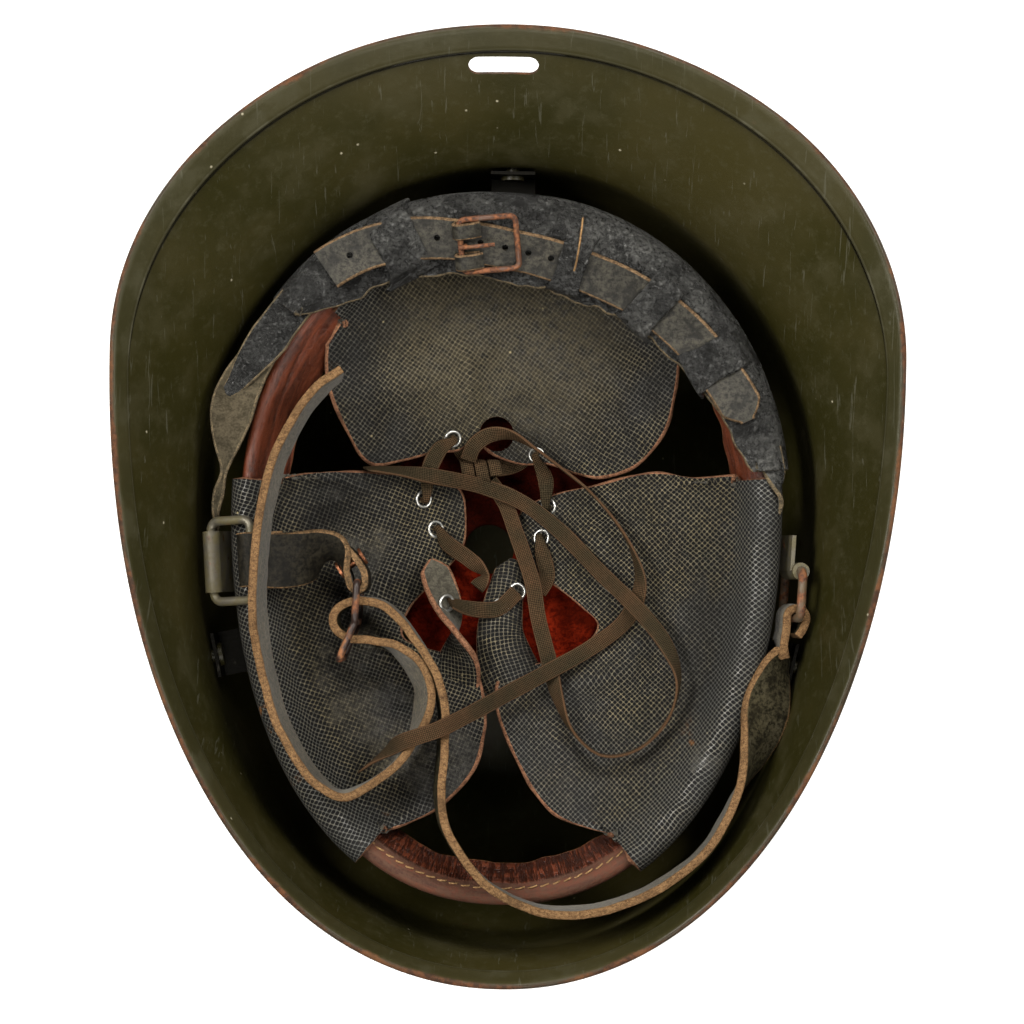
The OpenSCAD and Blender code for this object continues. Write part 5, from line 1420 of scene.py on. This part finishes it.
def make_size_band():
    """The band as a grid: along the hoop, and over it from its outer foot to the uneven inner edge."""
    st = smooth(size_band, 10)
    a, bulge, reach = st.T
    run = lengths(np.concatenate([hoop_at(a, 5.0), 0 * a[:, None]], 1))
    reach = reach + 0.8 * waves(run, 0 * run, 30.0, 71) + 0.5 * waves(run, 0 * run, 11.0, 72)
    inner = 3 + (reach[:, None] - 3) * (np.arange(1, 8) / 7)[None]
    n = np.concatenate([np.tile(band_line[:, 0], (len(a), 1)), inner], 1)
    z = np.concatenate([np.tile(band_line[:, 1], (len(a), 1)), band_height(inner)], 1)
    grid = smooth(np.stack([n, z], -1), 4, axis=1)
    n, z = grid[..., 0], grid[..., 1]
    top = np.clip((n + 5) / 6, 0, 1)
    ends = np.clip(np.minimum(run, run[-1] - run) / 8, 0, 1)[:, None]
    crumple = 0.50 * waves(run[:, None], n, 15.0, 73) + 0.28 * waves(run[:, None], n, 6.5, 74)
    under_strap = 1 - 0.75 * np.exp(-((n - 12.0) / 7.0) ** 2)
    away = np.clip((n - 4) / 10, 0, 1)
    z = z + top * crumple * under_strap * ends - 0.6 * away * np.abs(waves(run[:, None], n * 0.3, 13.0, 75))
    p = beside(a[:, None], n - bulge[:, None], RING + z)
    p = shift_off(p, BAND_T / 2)
    uv = pattern(run[:, None], lengths_across(p))
    leather = (BAND, BAND_EDGE, BAND_FLESH)
    return grain_up(sheet_mesh("size_band", np.concatenate([p, uv], -1), BAND_T, 66, leather, round_start=False))


stands_for(make_size_band(), "sizing_band")


def curled_tail(name, rows):
    """A tail of the band: place, roll, heading and width at each station, with a crumpled surface."""
    st = np.array(rows, float)
    st[:, 2] += RING
    path = evenly(smooth(st, 12), 0.6)
    mid = band_mid(path, path[:, 5], 17, 0.5)
    mid[..., :3] += 0.30 * waves(mid[..., 3], mid[..., 4], 9.0, 79)[..., None] * UP
    obj = sheet_mesh(name, mid, 1.4, 17, (BAND, BAND_EDGE, BAND_FLESH))
    return stands_for(obj, "sizing_band")


for name, rows in end_tails.items():
    curled_tail(name, rows)
size_strap = np.array([(131.5, 0.3), (126, 1.5), (120, 3.2), (112, 5.5), (104, 8), (96, 10.3), (86, 12), (76, 13),
                       (66, 12.8), (56, 11.3), (47, 9.8), (39, 8.2), (31, 6.6), (24, 4.8), (17.5, 3.2)])
STRAP_W, STRAP_T = 13.5, 1.5


def at_angle(table, a, column):
    """A column of a table at a place round the hoop. The tables run from the left to the right."""
    return np.interp(a, table[::-1, 0], table[::-1, column])


def lean_at(n):
    """The strap's lean inwards in degrees: none on the hoop, and the band's own slope further in."""
    return np.degrees(np.arctan(BAND_SLOPE)) * np.clip((n - 1.5) / 7.5, 0, 1)


def out_angle(a):
    """The direction away from the hoop, in degrees."""
    d = hoop_out(np.asarray(a, float))
    return np.degrees(np.arctan2(d[..., 1], d[..., 0]))


def strap_point(a, n, rise):
    """A place over the band: round the hoop, inward, and that much above the leather."""
    return beside(a, n - at_angle(size_band, a, 1), RING + band_height(n) + rise)


def bridge(name, a, width):
    """A bridge over the strap: a band square to the strap, its feet flared and let into the band."""
    n0 = at_angle(size_strap, a, 1)
    half = STRAP_W / 2 + 4.1
    rise = np.array([(-half - 3, -1.6), (-half - 1, -0.2), (-half + 1, 1.2), (-half + 3, 2.9), (0, 3.4),
                     (half - 3, 2.9), (half - 1, 1.2), (half + 1, -0.2), (half + 3, -1.8)])
    reach = at_angle(size_band, a, 2)
    room = 0.12 * rise[:, 0] / half
    n = np.clip(n0 + rise[:, 0] * np.cos(np.radians(lean_at(n0))), -6.6 + room, reach - 1.2 + room)
    p = strap_point(np.full(len(rise), float(a)), n, rise[:, 1])
    st = np.concatenate([p, np.zeros((len(p), 1)), np.full((len(p), 1), out_angle(a) + 180)], 1)
    path = evenly(smooth(st, 8), 0.6)
    t = np.linspace(-1, 1, len(path))
    flare = width * (1 + 0.45 * np.abs(t) ** 4) + 0.5 * waves(t * 10, 0 * t, 6.0, int(a))
    mid = band_mid(path, flare, 15, 0.25)
    mid[..., 2] += 0.22 * waves(mid[..., 3] + a, mid[..., 4], 5.0, 77)
    obj = grain_up(sheet_mesh(name, mid, 1.4, 15, (BAND, BAND, BAND_FLESH)))
    return stands_for(obj, "sizing_band")


for number, (a, width) in enumerate(((116, 13.5), (73.5, 9), (51, 10.5), (32, 12))):
    bridge("band_bridge_%d" % (number + 1), a, width)

# %% [markdown]
# ## Size strap and its buckle
# A narrow dark strap runs under the bridges. It has punched holes, a wire buckle and a prong.

# %% Size strap, buckle and prong
def make_size_strap():
    """The strap as a band that leans with the band under it and has a round tip."""
    st = smooth(size_strap, 10)
    p = strap_point(st[:, 0], st[:, 1], 0.5 + STRAP_T / 2)
    path = np.concatenate([p, -lean_at(st[:, 1])[:, None], out_angle(st[:, 0])[:, None] + 90], 1)
    path = evenly(path, 0.8)
    run = lengths(path)
    path[:, 2] += 0.12 * waves(run, 0 * run, 25.0, 81)
    tip = np.sqrt(np.clip((run[-1] - run) / 5.0, 0.12, 1))
    mid = band_mid(path, STRAP_W * tip * (1 + 0.012 * waves(run, 0 * run, 18.0, 82)), 15, 0.25)
    return grain_up(sheet_mesh("size_strap", mid, STRAP_T, 15, (THIN, THIN_EDGE, BAND_FLESH)))


size_strap_piece = make_size_strap()


def on_size_strap(a, lift):
    """A place on the strap's middle line with its directions: outward across it, along it, and up."""
    n = at_angle(size_strap, a, 1)
    place = strap_point(np.float64(a), n, 0.5 + STRAP_T + lift)
    d, r = np.radians(out_angle(a)), np.radians(lean_at(n))
    x = np.array([np.cos(d) * np.cos(r), np.sin(d) * np.cos(r), np.sin(r)])
    y = np.array([-np.sin(d), np.cos(d), 0.0])
    return place, x, y, np.cross(x, y)


for a in (126, 107.5, 97.6, 91.5, 85.4, 79.3):
    place, x, y, z = on_size_strap(a, 0.0)
    cut(size_strap_piece, plug("punch", circle(1.0, 16), place, x, y, 3.0, BAND_EDGE))
stands_for(size_strap_piece, "sizing_strap")

WIRE, BUCKLE_L, CURL_R = 0.9, 17.5, 1.45
place, x, y, z = on_size_strap(95.5, 0.3 + 1.66)
buckle_path = place_on(place - y * BUCKLE_L / 2, y, -x, round_rect(BUCKLE_L, STRAP_W + 3.4, 2.0))
buckle = tube("size_buckle", buckle_path, WIRE, RUSTY, 14, z, True)
stands_for(buckle, "sizing_buckle")
pin_at = place + y * BUCKLE_L / 2


def beside_pin(at, rows):
    """Places back along the strap from the buckle's pin and up from it, as rows of the two distances."""
    return [at - y * back + z * up for back, up in rows]


curl = np.radians(np.linspace(200, -90, 14))
curl_path = pin_at + CURL_R * (np.cos(curl)[:, None] * y + np.sin(curl)[:, None] * z)
needle = beside_pin(pin_at + CURL_R * z, ((1.2, 0.05), (3.5, 0.0), (6.0, -0.1), (8.5, -0.2), (10.4, -0.35)))
prong_path = smooth(np.concatenate([curl_path[::-1][7:], np.array(needle)]), 4)
prong = tube("size_prong", prong_path, np.linspace(0.75, 0.62, len(prong_path)), RUSTY, 12, x)
stands_for(prong, "sizing_prong", "prong")

loop_q = np.radians(np.linspace(-80, 95, 12))
loop_r = WIRE + 0.25 + 0.6
for number, across in enumerate((-5.0, 5.0)):
    at = pin_at + across * x
    rows = beside_pin(at, ((5.6, -1.9), (3.0, -1.85)))
    rows += [at + loop_r * (np.cos(v) * y + np.sin(v) * z) for v in loop_q]
    rows += beside_pin(at, ((2.2, 1.5), (4.4, 0.9), (6.4, 0.0)))
    loop_path = evenly(smooth(np.array(rows), 4), 0.4)
    c = np.linspace(-2.6, 2.6, 9)
    grid = loop_path[:, None] + c[None, :, None] * x
    uv = pattern(lengths(loop_path)[:, None], c[None])
    mid = np.concatenate([grid, uv], -1)
    loop = sheet_mesh("buckle_loop_%d" % (number + 1), mid, 1.1, 9, (THIN, THIN_EDGE, THIN))
    stands_for(loop, "sizing_strap")
thread_at = np.array([strap_point(np.float64(a), np.float64(n), h) for a, n, h in (
    (74.6, -2, 0.5), (74.2, 0.5, 0.9), (73.8, 3.5, 2.0), (73.4, 6.0, 4.8), (73.0, 9, 5.6), (72.6, 12, 5.5),
    (72.4, 14.5, 5.0))])
stands_for(tube("loose_thread", evenly(smooth(thread_at, 6), 0.5), 0.33, THREAD, 8), "sizing_band")

# %% [markdown]
# ## Lugs, bails and slider
# A bail is a wire bent to a rectangle with round corners. It turns in the curled barrel of its lug. The
# slider is two such loops side by side, bent at the middle bar.

# %% Wire loops
def local_frame(a):
    """The hoop's upper edge at a place, the direction away from the hoop, and the one along it."""
    d = np.radians(out_angle(a))
    x, y = hoop_at(np.float64(a))
    return np.array([x, y, RING]), np.array([np.cos(d), np.sin(d), 0.0]), np.array([-np.sin(d), np.cos(d), 0.0])


BAIL_W, BAIL_L, BAIL_R = 14.5, 25.0, 1.4
LUG_T, BARREL_GAP = 1.2, 0.25
BARREL_R = BAIL_R + 0.06 + LUG_T
LEFT_A, RIGHT_A = 187.6, -5.2
LUG_OUT, LUG_UP, BAIL_RISE = 10.6, 2.3, 28
RIGHT_OUT, RIGHT_FRONT, RIGHT_DOWN = 5.3, 5.5, 15
origin, ox, oy = local_frame(LEFT_A)
left_barrel = origin + LUG_OUT * ox + LUG_UP * UP
rise = np.radians(180 + BAIL_RISE)
bail_x = np.cos(rise) * ox - np.sin(rise) * UP
bail_outline = round_rect(BAIL_W, BAIL_L, 2.8)
left_wire = place_on(left_barrel, bail_x, oy, bail_outline)
bail_l = tube("left_bail", left_wire, BAIL_R, OLIVE, 18, np.cross(bail_x, oy), True)
stands_for(bail_l, "bail_left", "bail_left")
origin_r, rx, ry = local_frame(RIGHT_A)
lean_r = np.arctan((LUG_OUT - BARREL_R - RIGHT_OUT) / (LUG_UP + RIGHT_DOWN))
lx = np.cos(lean_r) * rx - np.sin(lean_r) * UP
lz = np.sin(lean_r) * rx + np.cos(lean_r) * UP
right_foot = origin_r + RIGHT_OUT * rx - RIGHT_FRONT * ry - RIGHT_DOWN * UP
right_barrel = right_foot + (BARREL_R + BARREL_GAP) * lx + 10.5 * lz
bail_r = tube("right_bail", place_on(right_barrel, -ry, lz, bail_outline), BAIL_R, WORN, 18, lx, True)
stands_for(bail_r, "bail_right", "bail_right")

SLIDER_AT = np.array([-45.6, -23.4, RING - 2.4])
head = np.radians(-92)
sx, sn = np.array([np.cos(head), np.sin(head), 0.0]), np.array([-np.sin(head), np.cos(head), 0.0])
BAR_R, WIDE = 1.1, 17.0
pitch, tall = (27 - 2 * BAR_R) / 2, WIDE + 4 + 2 * BAR_R
far = np.radians(-20)
sx2 = np.cos(far) * sx + np.sin(far) * sn
half_slider = round_rect(pitch, tall, 1.6)
for name, at, way, face in (("slider_near_loop", SLIDER_AT, sx, sn),
                            ("slider_far_loop", SLIDER_AT + sx * pitch, sx2, np.cross(sx2, UP))):
    wire = tube(name, place_on(at, way, UP, half_slider), BAR_R, LACQUER, 14, face, True)
    stands_for(wire, "slider", "slider")

# %% [markdown]
# ## Chinstraps
# The straps are thick leather on edge. Their upper cut edges are tan and fibrous, and their faces are
# dark. The short one folds round the left bail's free bar and round the slider. The long one turns in
# the slider, runs over the front of the hoop and round the gutter, and folds round the right bail.

# %% Chinstraps
LONG_T, SHORT_T = 2.6, 2.1


def placed(rows):
    """Rows [x, y, above the hoop's edge, roll, heading]. Where the last two are left out they are 90 and 85."""
    return np.array([(r[0], r[1], RING + r[2], *(r[3:] if len(r) > 3 else (90, 85))) for r in rows], float)


def leaning(rows, lean, first, last):
    """The rows from first to last with a lean added to their roll, which fades in and out."""
    out = placed(rows)
    k = np.arange(len(out))
    out[:, 3] += lean * np.clip((k - first + 1) / 2, 0, 1) * np.clip((last + 1 - k) / 2, 0, 1)
    return out


def half_turn(r, start, end, n):
    """n + 1 places on a circle of radius r, from one angle to another."""
    q = np.radians(np.linspace(start, end, n + 1))
    return r * np.stack([np.cos(q), np.sin(q)], -1)


bar_in = LUG_OUT - BAIL_W * np.cos(np.radians(BAIL_RISE))
bar_up = LUG_UP + BAIL_W * np.sin(np.radians(BAIL_RISE))


def left_bar(u, v):
    """A station of the short strap: u outwards from the left bail's free bar and v above it."""
    p = beside(LEFT_A, -bar_in - u, RING + bar_up + v)
    return (*p, 0.0, float(out_angle(LEFT_A)) % 360 - 180)


def right_bar(u, v):
    """A station of the long strap: u forwards from the right bail's free bar and v out from it."""
    p = right_foot - (BAIL_W + u) * ry + (BARREL_R + BARREL_GAP + v) * lx + 13.5 * lz
    return (*p, 90 + np.degrees(lean_r), 90 + float(out_angle(RIGHT_A)))


short_r = BAIL_R + 0.3 + 0.5 + SHORT_T / 2
short_rows = np.array(
    [left_bar(-9.5, -short_r - 0.6), left_bar(-5, -short_r)]
    + [left_bar(-w[0], w[1]) for w in half_turn(short_r, 270, 90, 5)]
    + [tuple(r) for r in placed([(-69.5, -17.2, 11, 0, 0), (-63.5, -16.4, 8.5, 12, 0), (-58.5, -15.2, 4.5, 32, 0),
                                 (-54.5, -15, 1, 60, 0), (-51.4, -17, -1, 86, 0), (-49.2, -20.4, -2.2, 90, 0)])]
    + [(SLIDER_AT[0] + w[0], SLIDER_AT[1] + w[1], SLIDER_AT[2], 90.0, 0.0)
       for w in half_turn(BAR_R + 0.3 + SHORT_T / 2, 190, 370, 5)]
    + [tuple(r) for r in placed([(-43.6, -20, -2.4, 90, 0), (-45.8, -16.6, -2.4, 90, 0), (-49, -13, -2.4, 90, 0)])])
long_tail = [(-52, 41, 7), (-57, 37, 8), (-62, 31, 9.5), (-67, 22, 11), (-71, 11, 14.5), (-73.5, -3, 20),
             (-74.5, -17, 23.6), (-75, -30, 21.4), (-74, -43, 16.4), (-71.5, -55, 14.4), (-68, -66, 14.6),
             (-62, -77, 14.8), (-55.5, -85, 13.4), (-48, -88.5, 10.6), (-38, -84, 5.2), (-29.5, -76, -0.2),
             (-25.5, -66, -2.5, 104, 85), (-24.5, -57, -3.4, 108, 85), (-28, -49, -3.4, 108, 120),
             (-34, -43.5, -2.8, 98, 150)]
long_turn = [(-41, -41.4, -2.4), (-47, -40.9, -2.4), (-51.6, -38.6, -2.4), (-53, -35, -2.4), (-51.4, -31.4, -2.4),
             (-47, -29.4, -2.4), (-41, -29.3, -2.4)]
long_run = [(-36, -31.5, -2.8), (-30.5, -37, -3.2), (-24.5, -45.5, -3.4), (-20.5, -54, -3.2), (-18.5, -64, -2.6),
            (-18.5, -75, -0.6), (-19, -87, 2.8), (-17.5, -97, 6.2), (-12.5, -106, 9.5), (-6, -113.5, 11.6),
            (3, -119.5, 12.2), (15, -123.2, 12.2), (28, -122.8, 12), (41, -119, 11), (53, -112.5, 9.5),
            (63.5, -103.5, 7.6), (69.8, -93, 6.2)]
long_end = [(74.6, -82.5, 5.2, 82, 75), (79, -71, 4.2, 52, 82), (81.6, -60, 2.2, 33, 85), (83.8, -51, 0, 45, 82),
            (86.5, -43, -2.6, 75, 75)]
long_r = BAIL_R + 0.3 + LONG_T / 2
fold_rows = [right_bar(8.5, -3.6), right_bar(4.5, -3.2)] \
    + [right_bar(-w[1], w[0] - 0.25) for w in half_turn(long_r, 190, -10, 6)] \
    + [right_bar(3.4, 1.9), right_bar(5.6, 0.6)]
long_rows = np.concatenate([leaning(long_tail, -6, 0, 12), placed(long_turn), leaning(long_run, 6, 2, 12),
                            placed(long_end), np.array(fold_rows)])


def strap_piece(name, path, thick, seed, kinds=(STRAP_FACE, STRAP_EDGE, STRAP_SUEDE), pinch=0.0):
    """A strap as a sheet. Its edges are a little uneven and its faces have shallow waves. The pinch is how
    much narrower it is where it is folded over at its end, and it fades out over 45 mm."""
    run = lengths(path)
    folded = np.clip((run - run[-1] + 45) / 20, 0, 1)
    mid = band_mid(path, WIDE - pinch * folded + 0.35 * waves(run, 0 * run, 22.0, seed), 15, 0.0)
    up = band_frame(path[:, :3], path[:, 3], path[:, 4])[1]
    mid[..., :3] += up[:, None] * (0.10 * waves(mid[..., 3], mid[..., 4], 14.0, seed + 1))[..., None]
    return sheet_mesh(name, mid, thick, 15, kinds, square=0.45)


short_path = evenly(smooth(short_rows, 8), 0.55)
short_piece = strap_piece("short_strap", short_path, SHORT_T, 91, (SHORT_FACE, SHORT_EDGE, STRAP_SUEDE))
stands_for(short_piece, "chinstrap_short", ride=False)
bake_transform(short_piece)

long_path = evenly(smooth(long_rows, 8), 0.7)
split = int(np.argmin(np.linalg.norm(long_path[:, :2] - np.array([15.0, -123.2]), axis=1)))
near_piece = strap_piece("long_strap_near", long_path[:split + 1], LONG_T, 95)
far_piece = strap_piece("long_strap_far", long_path[split:], LONG_T, 95, pinch=5.0)
stands_for(near_piece, "chinstrap_long", ride=False)
stands_for(far_piece, "chinstrap_long", ride=False)
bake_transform(near_piece)
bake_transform(far_piece)
print("long strap", round(lengths(long_path)[-1]), "mm, short strap", round(lengths(short_path)[-1]), "mm")

# %% [markdown]
# ## Eyelets
# A nickel eyelet has a rolled rim on the grain side, a short barrel and a flat rim behind. One profile is
# turned round each eyelet's axis.

# %% Eyelets
left_eyelets = [(-27, 3.5, 0.9, 29, 0), (-23, -6, 0.8, 29, 6)]
right_eyelets = [(13, 2, 0.7, -27, 0), (11, -8, 0.6, -24, 12)]
rear_eyelets = [(-18, 23, 2.2, 18, -18), (9, 18.5, 1, -16, -23)]
tongue_eyelets_l = [(-18.6, -29.5, 12.0, 35, 0)]
tongue_eyelets_r = [(-1.6, -30.5, 6.8, -8, 6), (3.6, -25.4, 6.0, 16, 10)]
EYE_R, EYE_RIM = 2.0, 2.9
q = np.radians(np.linspace(180, 0, 13))
eyelet_profile = np.concatenate([
    [(EYE_R, -PAD_T - 1.5), (EYE_R, 0.05)],
    np.stack([(EYE_R + EYE_RIM) / 2 + (EYE_RIM - EYE_R) / 2 * np.cos(q), 0.1 + 0.42 * np.sin(q)], -1),
    [(EYE_RIM - 0.2, -0.05), (EYE_R + 0.3, -0.05), (EYE_R + 0.3, -PAD_T - 1.2), (EYE_RIM, -PAD_T - 1.25),
     (EYE_RIM, -PAD_T - 1.5)]])


def eyelet_way(e):
    """The way an eyelet's grain side faces, from its two tilts in degrees."""
    t, l = np.radians(e[3]), np.radians(e[4])
    return np.array([np.cos(l) * np.sin(t), np.sin(l), np.cos(l) * np.cos(t)])


def eyelets(name, rows, node_name):
    """All eyelets of a pad: x, y, height over the bowl and two tilts in each row."""
    places = [over([(e[0], e[1], e[2], 0, 0)])[0, :3] for e in rows]
    obj = turned(name, places, [eyelet_way(e) for e in rows], eyelet_profile, NICKEL)
    return stands_for(obj, node_name)


eyelets("left_eyelets", left_eyelets + tongue_eyelets_l, "eyelets_left")
eyelets("right_eyelets", right_eyelets + tongue_eyelets_r, "eyelets_right")
eyelets("rear_eyelets", rear_eyelets, "eyelets_rear")

# %% [markdown]
# ## The laced part of the lace
# Each half starts in the knot, comes up through a rear eyelet, goes down and up through the lobe's two
# eyelets and on to the tongues, where it passes from one tongue to the other. In an eyelet the
# lace is gathered to less than half its width. The knot is a short core with two turns wrapped round it.

# %% Laced part and knot
GATHER = 2.3


def through(e, way):
    """Three stations along an eyelet's axis, from below it to above it."""
    base = over([(e[0], e[1], e[2], 0, 0)])[0, :3]
    return [(*(base + d * eyelet_way(e)), 0.0, way, GATHER, 1.5) for d in (-4.2, -1, 2)]


def lay(rows):
    """Stations over the bowl with the lace's full width and thickness."""
    return [(*over([r])[0], LACE_W, LACE_T) for r in rows]


laced_left = lay([(-11, 14, 2, 0, 150), (-15, 19, -3, 0, 140)]) + through(rear_eyelets[0], 215) \
    + lay([(-22, 19.5, 4.6, 0, 245), (-25.5, 12, 3.8, 0, 260)]) + through(left_eyelets[0], 275)[::-1] \
    + lay([(-25.5, -1.5, -4.6, 0, 290)]) + through(left_eyelets[1], 300) \
    + lay([(-19, -10.5, 3.2, 0, 310), (-12, -15.5, 3.6, 0, 330), (-7, -20, 4, 60, 260), (-9.5, -24.5, 3, 0, 200)])
laced_right = lay([(-7, 13.5, 2.5, 0, 0), (2, 15.5, -3.2, 0, 20)]) + through(rear_eyelets[1], -50) \
    + lay([(12, 10.5, 4.2, 0, -70)]) + through(right_eyelets[0], -80)[::-1] + lay([(12.6, -2.6, -4.6, 0, -95)]) \
    + through(right_eyelets[1], -95) \
    + lay([(11.6, -14, 2.6, 0, -80), (13, -20.5, 1.6, 0, -80), (10.5, -25.5, 2, 0, -150)])
between = lay([(-17.5, -29.5, 13.4, -60, 10), (-12, -31, 10.6, -30, -10), (-6, -31.5, 8.4, 0, -5),
               (-1.5, -30.5, 7.8, 0, 20), (3.4, -25.6, 7.6, 0, 45)])
knot_at = over([(-9, 13, 3, 0, 0)])[0, :3]
wrap_q = np.linspace(0, 4.6 * np.pi, 60)
wrapped = knot_at + np.stack([0.72 * wrap_q - 5.2, 3.3 * np.cos(wrap_q), 2.6 * np.sin(wrap_q)], -1)


def lace_part(name, rows):
    """A part of the laced lace, whose width and thickness come with its stations."""
    st = evenly(smooth(np.array(rows, float), 8), 0.6)
    obj = oval_band(name, st, st[:, 5], st[:, 6], LACE, 14)
    return stands_for(obj, "lace_laced")


def knot_turns():
    """The wrapped turns: a flat band whose width lies along the knot and whose face points away from it."""
    away = unit((wrapped - knot_at) * [0.0, 1.0, 1.0])
    wide = np.cross(unit(np.gradient(wrapped, axis=0)), away)
    c = 2 * np.pi * (np.arange(14) + 0.5) / 14
    across, up = 2.1 * power(np.cos(c), 0.85), 0.6 * power(np.sin(c), 0.6)
    rings = wrapped[:, None] + wide[:, None] * across[:, None] + away[:, None] * up[:, None]
    uv = pattern(lengths(wrapped)[:, None], 2.1 * np.cos(c))
    obj = ring_mesh("lace_knot", rings, uv, finishes=(LACE,), sharp=75.0)
    return stands_for(obj, "lace_laced")


lace_part("lace_left", laced_left)
lace_part("lace_right", laced_right)
lace_part("lace_between", between)
knot_turns()

# %% [markdown]
# ## Cushions
# A flat cotton cushion lies behind each pad and shows only from below. Its plan is drawn between the
# pad's own rows, blown up by a short cloth simulation and kept under the hide.

# %% Cushions
CUSHION_T = 10


def cushion(name, edge, start, finish_at, node_name):
    """A cushion behind a pad, from one share of its edge to another. Its thickness follows
    sqrt(sin(pi u) sin(pi v)), so it is full in the middle and thin at its rim."""
    st = smooth(np.array(edge, float), 6)
    u = np.linspace(0, 1, len(st))
    keep = (u >= start) & (u <= finish_at)
    st, u = st[keep], u[keep]
    plan, top = rows_to_edge(st, u, np.linspace(1 / 6, 3 / 6, 15))
    top = top - 1.12 * PAD_T - 0.7
    long_way, short_way = (np.sin(np.pi * np.linspace(0.06, 0.94, n)) for n in (len(st), 15))
    fat = CUSHION_T * np.sqrt(long_way[:, None] * short_way[None])
    upper = np.concatenate([plan, top[..., None]], -1)
    lower = np.concatenate([plan, (top - fat)[..., None]], -1)
    rings = np.concatenate([upper, lower[:, ::-1]], 1)
    obj = ring_mesh(name, rings, finishes=(COTTON,), sharp=80.0)
    puff(obj)
    return stands_for(obj, node_name)


def puff(obj):
    """Remesh to even faces, let air pressure round the cushion with a capped move, and smooth it."""
    mod = obj.modifiers.new("even", "REMESH")
    mod.mode, mod.voxel_size = "VOXEL", 0.004
    apply_modifiers(obj)
    before = read(obj.data.vertices, "co", 3)
    cloth = obj.modifiers.new("cloth", "CLOTH")
    cloth.settings.use_pressure, cloth.settings.uniform_pressure_force = True, 4.0
    cloth.settings.effector_weights.gravity = 0.0
    for frame_number in range(1, 13):
        bpy.context.scene.frame_set(frame_number)
    apply_modifiers(obj)
    move = read(obj.data.vertices, "co", 3) - before
    size = np.linalg.norm(move, axis=1, keepdims=True)
    move *= np.minimum(1.0, 0.0015 / np.maximum(size, 1e-9))
    obj.data.vertices.foreach_set("co", (before + move).ravel())
    bpy.context.scene.frame_set(1)
    soft = obj.modifiers.new("soft", "SUBSURF")
    soft.levels = soft.render_levels = 1
    apply_modifiers(obj)
    obj.data.polygons.foreach_set("use_smooth", np.ones(len(obj.data.polygons), bool))


cushion("left_cushion", left_edge, 0.12, 0.84, "cushion_left")
cushion("right_cushion", right_edge, 0.16, 0.88, "cushion_right")
cushion("rear_cushion", rear_edge, 0.12, 0.88, "cushion_rear")

# %% [markdown]
# ## Pieces kept from the CAD model
# The hidden frame, the rivets and the lugs already have their shape, so they only get a finish.

# %% Finishes of the kept pieces
for finish_of, kept in ((RIVET, ("shell_rivets",)), (COPPER, ("strap_rivet",)),
                        (OLIVE, ("lug_left", "lug_right", "lug_rivets")),
                        (DULL, ("standoff_left", "standoff_right", "standoff_rear", "liner_hoop", "hoop_rivets"))):
    for name in kept:
        nodes[name].data.materials.clear()
        nodes[name].data.materials.append(finish_of)
print("kept pieces finished")
